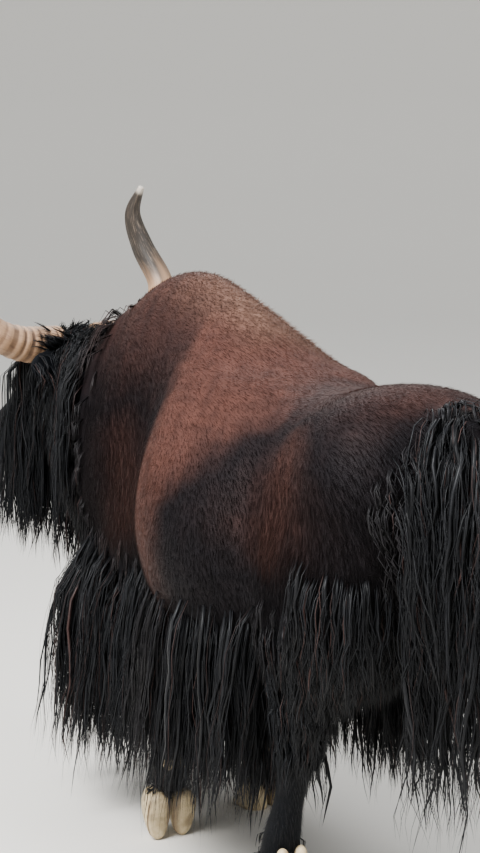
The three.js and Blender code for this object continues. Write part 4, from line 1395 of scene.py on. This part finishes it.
class YakShaggyCoat(bpy.types.Operator):
    """Covers the shoulders, neck, haunches and thighs with curly hair of middle length"""

    bl_idname = "yak.shaggy_coat"
    bl_label = "Shaggy coat"

    def execute(self, context):
        material = hair_material("shaggy hair")
        x, y, z = Skin.vertices.T
        rough = 1 - sleek_zone(Skin.vertices)
        rough *= in_region("torso", "neck", "front_left", "front_right", "hind_left", "hind_right", "tail")
        common = {"bend": 0.9, "width": 3.2, "pinch": 0.5, "fade": 0.8, "low": 0.2, "high": 0.6}
        for name, side, seed in (("coat_side_left", 1, 121), ("coat_side_right", -1, 122)):
            front = rough * (y < 420) * smooth(430, 480, z) * (side * x > 0)
            rear = rough * (y >= 420) * smooth(380, 430, z) * (side * x > 0)
            grow_locks(
                name + "_front", material, seed, front, 720, 5, 3,
                length=lambda p: 72 + 40 * smooth(800, 600, p[:, 2]) + 40 * smooth(-330, -420, p[:, 1]),
                out=0.1, lift=20, curl=0.26, curl_size=60, spread=9, **common,
            )
            grow_locks(
                name + "_rear", material, seed + 10, rear, 720, 5, 3,
                length=lambda p: 80 + 40 * smooth(800, 620, p[:, 2]),
                out=0.04, lift=16, curl=0.22, curl_size=80, spread=10, **common,
            )
        return {"FINISHED"}


class YakSkirts(bpy.types.Operator):
    """Hangs the long skirt of wavy locks from both flanks"""

    bl_idname = "yak.skirts"
    bl_label = "Skirts"

    def execute(self, context):
        material = hair_material("long black hair")
        x, y, z = Skin.vertices.T
        band = in_region("torso", "front_left", "front_right") * smooth(470, 520, z)
        band *= smooth(690, 610, z + 34 * waves(Skin.vertices, 90, 33))
        band *= smooth(-360, -320, y)
        band *= smooth(640, 600, y)
        for name, side, seed in (("coat_skirt_left", 1, 201), ("coat_skirt_right", -1, 202)):
            grow_locks(
                name, material, seed, band * smooth(60, 120, side * x), 370, 7, 8,
                length=lambda p: np.maximum(130, (p[:, 2] - hem_height(p[:, 1])) * 1.08),
                out=lambda p: 0.02 + 0.1 * smooth(500, 640, p[:, 2]),
                lift=45, bend=0.28, curl=0.26, curl_size=190, spread=16, width=3.0,
            )
        return {"FINISHED"}


class YakChestCoat(bpy.types.Operator):
    """Hangs the long hair of the chest, the throat and the neck"""

    bl_idname = "yak.chest_coat"
    bl_label = "Chest and throat"

    def execute(self, context):
        material = hair_material("long black hair of the chest")
        x, y, z = Skin.vertices.T
        body = in_region("torso", "neck", "front_left", "front_right")
        chest = body * smooth(500, 560, z) * smooth(700, 610, z)
        chest *= smooth(-150, -230, y)
        chest *= smooth(-560, -520, y)
        chest *= np.maximum(smooth(120, 160, np.abs(x)), smooth(-380, -420, y))
        grow_locks(
            "coat_chest", material, 301, chest, 390, 7, 8,
            length=lambda p: np.maximum(170, (p[:, 2] - SKIRT_HEM + 10) * 1.14),
            hang=lambda p, n: n * [0.09, 0.07, 0] + [0, 0.1, -1.0],
            lift=40, bend=0.45, curl=0.25, curl_size=190, spread=17, width=3.0,
        )
        f, l, _ = head_local(Skin.vertices)
        near_ear = smooth(-150, -110, f) * smooth(66, 86, np.abs(l))
        throat = in_region("neck") * smooth(-400, -460, y) * smooth(1180, 1120, z) * (1 - near_ear)
        grow_locks(
            "coat_throat", material, 311, throat, 360, 6, 8,
            length=lambda p: np.clip((p[:, 2] - THROAT_HEM + 20) * 1.08, 120, 400),
            out=0.03, lift=26, bend=0.4, curl=0.22, curl_size=170, spread=13, width=2.9, even=0.84,
        )
        return {"FINISHED"}


class YakTailHair(bpy.types.Operator):
    """Hangs the bushy hair of the tail"""

    bl_idname = "yak.tail_hair"
    bl_label = "Tail hair"

    def execute(self, context):
        material = hair_material("tail hair")
        x, y, _ = Skin.vertices.T
        root = in_region("torso") * smooth(940, 985, y) * smooth(150, 110, np.abs(x))
        tail = np.maximum(in_region("tail"), root) * smooth(860, 900, y)
        grow_locks(
            "coat_tail", material, 401, tail, 315, 7, 9,
            length=lambda p: np.where(p[:, 2] > 820, 330 + 0.2 * (p[:, 2] - 820), p[:, 2] - TAIL_HEM - 20),
            out=lambda p: 0.1 - 0.06 * smooth(900, 800, p[:, 2]),
            lift=40, bend=0.4, curl=0.24, curl_size=210, spread=17, width=3.0,
        )
        return {"FINISHED"}


class YakLegHair(bpy.types.Operator):
    """Hangs the breeches behind the thighs and forearms, and covers the lower legs with short hair"""

    bl_idname = "yak.leg_hair"
    bl_label = "Leg hair"

    def execute(self, context):
        material = hair_material("leg hair")
        y, z = Skin.vertices[:, 1], Skin.vertices[:, 2]
        behind = smooth(0.0, 0.6, Skin.normals[:, 1])
        hind = in_region("hind_left", "hind_right") * smooth(520, 560, z) * smooth(860, 780, z)
        hind *= behind * (y > 720)
        front = in_region("front_left", "front_right") * smooth(430, 470, z) * smooth(660, 620, z)
        grow_locks(
            "coat_breeches", material, 501, hind, 300, 6, 6,
            length=lambda p: 150 + 90 * smooth(600, 820, p[:, 2]),
            out=0.02, lift=30, bend=0.4, curl=0.25, curl_size=130, spread=13, width=3.1,
        )
        grow_locks(
            "coat_forearms", material, 511, front, 110, 5, 5,
            length=130, out=0.02, lift=24, bend=0.4, curl=0.2, curl_size=110, spread=10, width=3.0,
        )
        legs = in_region("front_left", "front_right", "hind_left", "hind_right") * smooth(500, 440, z)
        grow_tufts(
            "coat_lower_legs", material, 521, legs, 10000,
            length=lambda p: 22 + 20 * smooth(330, 460, p[:, 2]),
            width=3.2, lift=20, wild=0.25, low=0.25, high=0.5,
        )
        pastern = np.zeros(len(z))
        for foot in SIDE_OF:
            hair = in_region(foot) * smooth(0.86, 0.95, Skin.places[foot][0])
            if FEET[foot][2] > 0:
                hair *= smooth(0.2, -0.2, Skin.normals[:, 1])
            pastern += hair
        grow_locks(
            "coat_pasterns", material, 531, pastern, 260, 5, 4,
            length=lambda p: np.clip(p[:, 2] - 22, 24, 52),
            out=0.25, lift=34, bend=0.7, curl=0.12, curl_size=90, spread=6, width=2.6,
        )
        return {"FINISHED"}


def cheek_length(points):
    """Length of the cheek's hair, down to the throat's hem behind and to 640 mm towards the muzzle."""
    f, _, _ = head_local(points)
    return np.clip((points[:, 2] - mix(THROAT_HEM - 20, 640, smooth(90, 320, f))) * 1.06, 80, 400)


def forelock_hang(points, _):
    """The way that the forelock hangs: down the face, and a little aside from its parting."""
    _, l, _ = head_local(points)
    return HEAD_F * 0.95 - np.array([0, 0, 0.45]) + HEAD_L * (l / 320)[:, None]


class YakHeadHair(bpy.types.Operator):
    """Covers the head with short hair, and adds cheek hair, forelock, mane and hair round horns and ears"""

    bl_idname = "yak.head_hair"
    bl_label = "Head hair"

    def execute(self, context):
        material = hair_material("head hair")
        f, l, u = head_local(Skin.vertices)
        head = in_region("head")
        eye_f, eye_l, eye_u = EYE
        near_eye = smooth(21, 30, np.sqrt((f - eye_f) ** 2 + (np.abs(l) - eye_l) ** 2 + 3 * (u - eye_u) ** 2))
        bare = smooth(478, 450, f) * near_eye
        # Roots whose hair would fall over the eye: on the tilted head it falls 0.64 as far along F as down U.
        over_eye = smooth(66, 44, np.abs(f - eye_f + 0.64 * (u - eye_u))) * smooth(-30, -10, u - eye_u)
        ear = smooth(122, 134, np.abs(l)) * smooth(45, 30, f)
        ear = np.maximum(ear, ear_hollow())
        grow_tufts(
            "coat_face", material, 601, head * bare * (1 - 0.4 * ear), 15000,
            length=lambda p: 14 + 20 * smooth(380, 80, head_local(p)[0]),
            lift=lambda p: 20 + 6 * smooth(300, 60, head_local(p)[0]),
            width=2.3, wild=0.3, low=0.25, high=0.5,
        )
        side_hair = head * smooth(300, 230, f) * near_eye * (1 - ear)
        above_ear = smooth(50, 20, f) * smooth(-150, -120, u) * smooth(40, 60, np.abs(l))
        side_hair *= 1 - 0.95 * above_ear
        side_hair *= np.maximum(smooth(-70, -120, u), smooth(60, 10, f)) * smooth(20, -20, u)
        side_hair *= smooth(0, 30, np.abs(l)) * (1 - over_eye * (f > -60))
        grow_locks(
            "coat_cheeks", material, 611, side_hair, 330, 6, 8,
            length=cheek_length,
            out=0.02, lift=24, bend=0.4, curl=0.22, curl_size=150, spread=10, width=2.6, even=0.84,
        )
        crown = head * smooth(120, 60, f) * smooth(-70, -35, u) * smooth(96, 76, np.abs(l))
        grow_locks(
            "coat_forelock", material, 621, crown, 190, 6, 8,
            length=lambda p: 100 + 0.35 * (110 - np.abs(head_local(p)[1])), hang=forelock_hang,
            lift=38, bend=0.45, curl=0.24, curl_size=110, spread=9, width=2.8,
        )
        roots = head * smooth(62, 90, np.abs(l)) * smooth(128, 116, np.abs(l))
        roots *= smooth(80, 50, f)
        roots *= smooth(-80, -50, u)
        grow_locks(
            "coat_horn_roots", material, 641, roots, 170, 6, 7,
            length=112, lift=56, bend=0.7, curl=0.2, curl_size=70, spread=10, width=2.6,
            hang=lambda p, n: HEAD_L * np.sign(head_local(p)[1])[:, None] * 1.1 + n * 0.5 + [0, 0, 0.15],
        )
        nape = in_region("head", "neck") * smooth(0.35, 0.7, Skin.normals[:, 2]) * smooth(80, 20, f)
        nape *= smooth(110, 80, np.abs(l)) * smooth(-430, -480, Skin.vertices[:, 1])
        grow_locks(
            "coat_mane", material, 651, nape, 170, 6, 4,
            length=76, lift=54, bend=0.8, curl=0.18, curl_size=90, spread=10, width=2.8,
            hang=lambda p, n: n * 0.55 + [0, 0.9, -0.15],
        )
        grow_locks(
            "coat_ears", material, 631, head * ear, 70, 4, 4,
            length=46, out=0.3, lift=20, bend=0.8, curl=0.2, curl_size=80, spread=6, width=2.4,
        )
        return {"FINISHED"}


def horn_grid(side, around=72, steps=260):
    """A tube round the horn's curve, with uneven ridges near the base that fade to a smooth pointed tip.

    Returns the points, and for each the place along the horn, 1 in the valleys between ridges (where a
    painted shade goes), and the angle.
    """
    u, t = grid(around, steps)
    rows = mm(HORN)
    yaw = math.radians(HEAD_YAW)
    ahead = np.array([math.sin(yaw), -math.cos(yaw), 0])
    left = np.array([math.cos(yaw), math.sin(yaw), 0])

    def at(row):
        return POLL + row[..., :1] * ahead + row[..., 1:2] * side * left + row[..., 2:3] * np.array([0, 0, 1])

    row = along(rows, t)
    way = unit(at(along(rows, np.minimum(1, t + 0.01))) - at(along(rows, np.maximum(0, t - 0.01))))
    one = unit(np.cross(way, [0, 1, 0.3]))
    two = unit(np.cross(one, way))
    angle = 2 * np.pi * u
    drift = 0.9 * np.sin(27 * t) + 0.5 * np.sin(61 * t + 1)
    drift += 0.5 * np.sin(angle + 9 * t) + 0.25 * np.sin(2 * angle)
    ridge = np.cos(2 * np.pi * HORN_RINGS * (t / HORN_RINGS_END) ** 0.9 + drift)
    strength = smooth(0.5, 0.24, t) * (0.65 + 0.35 * np.sin(17 * t + 2))
    groove = 0.008 * np.sin(9 * angle + 5 * np.sin(6 * t)) * smooth(0.1, 0.3, t)
    radius = row[..., 3] * (0.985 + 0.03 * strength * ridge + groove) * cap(t + 0.004, 0.03)
    points = at(row) + one * (radius * np.cos(angle))[..., None] + two * (radius * np.sin(angle))[..., None]
    valley = smooth(-0.1, -0.8, ridge) * smooth(0.5, 0.3, t)
    return points, t, valley, angle


class YakHorns(bpy.types.Operator):
    """Makes the two horns: brown and ringed at the base, dark with pale streaks above, pale at the tips"""

    bl_idname = "yak.horns"
    bl_label = "Horns"

    def execute(self, context):
        _, colours = settings()
        material, tree, shader = new_material("horn keratin")
        look = read_attribute(tree, "look")
        parts = add_node(tree, "ShaderNodeSeparateColor", inputs={0: look.outputs["Color"]})
        place, valley = parts.outputs[0], parts.outputs[1]
        around = read_attribute(tree, "round").outputs["Vector"]
        streaks = noise(tree, around, 8.0, 6.0, 0.7)
        patches = noise(tree, around, 1.3, 3.0)
        inputs = {0: patches, 1: 0.3, 2: place}
        wander = add_node(tree, "ShaderNodeMath", {"operation": "MULTIPLY_ADD"}, inputs)
        lines = ramp(tree, streaks, 0.5, 0.68)
        base = mixed(tree, lines, tuple(colours.horn_pale), linear("#876d5c"))
        upper = mixed(tree, lines, tuple(colours.horn_dark), linear("#73675b"))
        colour = mixed(tree, ramp(tree, wander.outputs[0], 0.72, 0.9), base, upper)
        colour = mixed(tree, ramp(tree, place, 0.97, 0.99, 0.7), colour, linear("#cfc6ba"))
        depth = add_node(tree, "ShaderNodeMapRange", inputs={0: patches, 1: 0.3, 2: 0.7, 3: 0.3, 4: 0.95})
        # Painted shade: the valleys between the ridges are darkened, more in some patches than in others.
        colour = mixed(tree, product(tree, valley, depth.outputs[0]), colour, linear("#4a382d"))
        tree.links.new(colour, shader.inputs["Base Color"])
        shader.inputs["Roughness"].default_value = 0.45
        roughen(tree, shader, streaks, 0.35, 0.003)
        for name, side in (("left", 1), ("right", -1)):
            points, t, valley, angle = horn_grid(side)
            vertices, triangles = closed_mesh(points)
            piece = new_object(f"horn_{name}_keratin", vertices, triangles)
            values = np.zeros((len(vertices), 4))
            values[:-2, 0], values[:-2, 1] = t.ravel(), valley.ravel()
            values[-1, 0] = 1
            put_values(piece.data, "look", "FLOAT_COLOR", values)
            ring = np.zeros((len(vertices), 3))
            ring[:-2] = np.stack([np.cos(angle), np.sin(angle), STREAK_LENGTH * t], -1).reshape(-1, 3)
            ring[-1, 2] = STREAK_LENGTH
            put_values(piece.data, "round", "FLOAT_VECTOR", ring)
            finish_piece(piece, material, [f"horn_{name}"])
        return {"FINISHED"}


def claw_grid(foot, inner, around=48, steps=60):
    """A claw: ovals across the sole's length, flat below, with a bevelled edge and fine rings round the wall.

    Returns the points, and for each how dark it is: a dark line along the sole's rim, and painted shade in
    the cleft between the claws.
    """
    x, y, heel_up = FEET[foot]
    side = SIDE_OF[foot]
    a, v = grid(around, steps)
    t = mix((1 - np.cos(np.pi * v)) / 2, v, 0.3)
    half_width, height = np.moveaxis(along(CLAW, t), -1, 0)
    ends = np.minimum(cap(t, 0.16), cap(1 - t, 0.2))
    angle = 2 * np.pi * a
    up = np.sin(angle)
    over = np.maximum(up, 0)
    turns = 2 * np.pi * HOOF_RINGS * (over * height) ** 0.9 + 1.5 * t
    ring = 1 - HOOF_RING_DEPTH * (1 + np.sin(turns)) * smooth(0.1, 0.35, up)
    across = inner * (CLAW_WIDTH / 2 + 2.2) + inner * CLAW_BOW * np.sin(np.pi * t)
    px = across + half_width * ends * np.cos(angle) * (1 - CLAW_DRAFT * over) * ring
    pz = np.where(up > 0, height * HOOF_HEIGHT * ends * up * ring, SOLE_ROUND * ends * up)
    py = (t - 0.5) * HOOF_LENGTH + pz / HOOF_HEIGHT * CLAW_LEAN
    tilt = math.radians(heel_up)
    rim = np.exp(-(((up + 0.3) / 0.13) ** 2)) * smooth(0.02, 0.12, t) * smooth(0.95, 0.75, t)
    if heel_up > 0:
        pz = pz + SOLE_RIM * rim
        pz = pz + SOLE_RIM * smooth(0.4, 0.9, -up) * smooth(0.1, 0.3, t) * smooth(0.75, 0.5, t)
    # Painted shade in the cleft between the two claws, on the inner side of the sole.
    cleft = smooth(0.2, 0.95, -inner * np.cos(angle)) * smooth(0.1, -0.2, up)
    ty = py * math.cos(tilt) - pz * math.sin(tilt)
    tz = py * math.sin(tilt) + pz * math.cos(tilt)
    lift = HOOF_LENGTH / 2 * math.sin(tilt) + 1 if heel_up else 0
    return np.stack([side * x + px, y + ty, np.maximum(tz + lift, 0)], -1), np.maximum(rim, 0.7 * cleft)


class YakHooves(bpy.types.Operator):
    """Makes the eight claws and the eight dewclaws"""

    bl_idname = "yak.hooves"
    bl_label = "Hooves"

    def execute(self, context):
        _, colours = settings()
        material, tree, shader = new_material("hoof horn")
        where = add_node(tree, "ShaderNodeTexCoord").outputs["Object"]
        grain = noise(tree, where, 60.0, 4.0)
        stain = ramp(tree, noise(tree, where, 22.0, 2.0), 0.56, 0.72, 0.5)
        lines = product(tree, read_attribute(tree, "lines").outputs["Fac"], 0.9)
        colour = mixed(tree, grain, tuple(colours.hoof), linear("#a08c68"))
        colour = mixed(tree, stain, colour, linear("#8a7860"))
        # Dark lines along the soles' rims, and painted shade in the cleft between the claws.
        colour = mixed(tree, lines, colour, linear("#50382a"))
        tree.links.new(colour, shader.inputs["Base Color"])
        shader.inputs["Roughness"].default_value = 0.55
        roughen(tree, shader, grain, 0.4, 0.002)
        a, v = grid(24, 16)
        ring = np.sin(np.pi * v)
        ball = np.stack([ring * np.cos(2 * np.pi * a), ring * np.sin(2 * np.pi * a), np.cos(np.pi * v)], -1)
        for foot, side in SIDE_OF.items():
            row = mm(LOWER[foot])[-3]
            for which, inner in (("inner", -side), ("outer", side)):
                points, dark = claw_grid(foot, inner)
                piece = new_object(f"hoof_{foot}_{which}", *closed_mesh(points))
                put_values(piece.data, "lines", "FLOAT", np.r_[dark.ravel(), 0.0, 0.0])
                finish_piece(piece, material, [f"claw_{foot}_{which}"])
                aside = side * row[1] + inner * DEWCLAW_ASIDE
                centre = np.array([aside, row[2] + 0.92 * row[5], row[3] - DEWCLAW_DROP])
                piece = new_object(f"button_{foot}_{which}", *closed_mesh(ball * DEWCLAW + centre))
                finish_piece(piece, material, [f"dewclaw_{foot}_{which}"])
        return {"FINISHED"}


class YakEyes(bpy.types.Operator):
    """Makes the two wet brown eyes"""

    bl_idname = "yak.eyes"
    bl_label = "Eyes"

    def execute(self, context):
        material, tree, shader = new_material("wet eye")
        look = read_attribute(tree, "look").outputs["Fac"]
        colour = mixed(tree, ramp(tree, look, 0.34, 0.42), linear("#0a0707"), linear("#3a1f10"))
        colour = mixed(tree, ramp(tree, look, 0.8, 0.95), colour, linear("#2a211c"))
        tree.links.new(colour, shader.inputs["Base Color"])
        shader.inputs["Roughness"].default_value = 0.14
        shader.inputs["Specular IOR Level"].default_value = 0.3
        shader.inputs["Coat Weight"].default_value = 0.35
        shader.inputs["Coat Roughness"].default_value = 0.05
        for name, side in (("left", 1), ("right", -1)):
            points = head_ball(EYE[0], side * EYE[1], EYE[2], (EYE_RADIUS,) * 3, around=48, steps=40)
            vertices, triangles = closed_mesh(points)
            f, l, u = head_local(vertices)
            piece = new_object(f"eyeball_{name}", vertices, triangles)
            out = np.where(side * l > EYE[1], 1.0, 3.0)
            look = np.hypot((f - EYE[0]) / EYE_OPENING[0], (u - EYE[2]) / EYE_OPENING[1]) * out
            put_values(piece.data, "look", "FLOAT", look)
            finish_piece(piece, material, [f"eye_{name}"])
        return {"FINISHED"}


class YakStage(bpy.types.Operator):
    """Sets the pale floor, the soft lights and the camera of the photograph's view"""

    bl_idname = "yak.stage"
    bl_label = "Stage"

    def execute(self, context):
        _, colours = settings()
        scene = context.scene
        azimuth = math.radians(180 - VIEW_AZIMUTH)
        ahead = np.array([-math.sin(azimuth), -math.cos(azimuth), 0])
        right = np.array([-math.cos(azimuth), math.sin(azimuth), 0])
        place = np.array([0, HUMP_PLACE, 0]) - ahead * VIEW_DISTANCE + right * VIEW_ASIDE
        place[2] = EYE_HEIGHT
        camera = bpy.data.objects.new("camera", bpy.data.cameras.new("camera"))
        camera.location = place * MM - ORIGIN
        camera.rotation_euler = (math.radians(90 - VIEW_PITCH), 0, math.radians(VIEW_AZIMUTH))
        camera.data.lens = LENS
        camera.data.sensor_width = SENSOR
        scene.collection.objects.link(camera)
        scene.camera = camera
        material, _, shader = new_material("pale floor")
        shader.inputs["Base Color"].default_value = tuple(colours.floor)
        shader.inputs["Roughness"].default_value = 0.9
        radius, height = np.array(FLOOR_PROFILE).T[..., None]
        col = np.arange(FLOOR_AROUND)
        angle = col / FLOOR_AROUND * 2 * np.pi
        points = np.stack([radius * np.cos(angle), radius * np.sin(angle), height + 0 * angle], -1)
        vertices = np.concatenate([points.reshape(-1, 3), [[0, 0, 0]]])
        nxt = (col + 1) % FLOOR_AROUND
        start = np.arange(len(radius) - 1)[:, None] * FLOOR_AROUND
        end = start + FLOOR_AROUND
        quads = np.stack([start + col, end + col, end + nxt, start + nxt], -1)
        middle = np.stack([col, nxt, np.full(FLOOR_AROUND, len(vertices) - 1)], -1)
        mesh = bpy.data.meshes.new("floor")
        mesh.from_pydata(vertices.tolist(), [], quads.reshape(-1, 4).tolist() + middle.tolist())
        mesh.polygons.foreach_set("use_smooth", [True] * len(mesh.polygons))
        floor = bpy.data.objects.new("floor", mesh)
        floor.data.materials.append(material)
        scene.collection.objects.link(floor)
        world = bpy.data.worlds.new("studio")
        world.use_nodes = True
        world.node_tree.nodes["Background"].inputs[0].default_value = linear("#eef1f5")
        world.node_tree.nodes["Background"].inputs[1].default_value = 0.9
        scene.world = world
        for name, spot, power, size in LIGHTS:
            light = bpy.data.objects.new(name, bpy.data.lights.new(name, "AREA"))
            light.data.energy = power
            light.data.size = size
            light.location = spot
            x, y, z = unit(spot - LIGHTS_AIM)
            light.rotation_euler = (math.acos(z), 0, math.atan2(y, x) + math.pi / 2)
            scene.collection.objects.link(light)
        scene.view_settings.view_transform = "AgX"
        scene.view_settings.look = "AgX - Medium High Contrast"
        return {"FINISHED"}


class YakPanel(bpy.types.Panel):
    """Lists the pieces of the yak in the sidebar"""

    bl_label = "Yak"
    bl_idname = "VIEW3D_PT_yak"
    bl_space_type = "VIEW_3D"
    bl_region_type = "UI"
    bl_category = "Yak"

    def draw(self, context):
        for piece in PIECES:
            self.layout.operator(piece.bl_idname)
        for group in (context.scene.yak_sizes, context.scene.yak_colours):
            for name in group.__annotations__:
                self.layout.prop(group, name)


PIECES = (
    YakSkin,
    YakShortCoat,
    YakShaggyCoat,
    YakSkirts,
    YakChestCoat,
    YakTailHair,
    YakLegHair,
    YakHeadHair,
    YakHorns,
    YakEyes,
    YakHooves,
    YakStage,
)
CLASSES = (YakSizes, YakColours, *PIECES, YakPanel)


def register():
    for cls in CLASSES:
        bpy.utils.register_class(cls)
    bpy.types.Scene.yak_sizes = bpy.props.PointerProperty(type=YakSizes)
    bpy.types.Scene.yak_colours = bpy.props.PointerProperty(type=YakColours)


def unregister():
    del bpy.types.Scene.yak_colours
    del bpy.types.Scene.yak_sizes
    for cls in reversed(CLASSES):
        bpy.utils.unregister_class(cls)


def main():
    register()
    for piece in PIECES:
        group, name = piece.bl_idname.split(".")
        getattr(getattr(bpy.ops, group), name)()


if __name__ == "__main__":
    main()
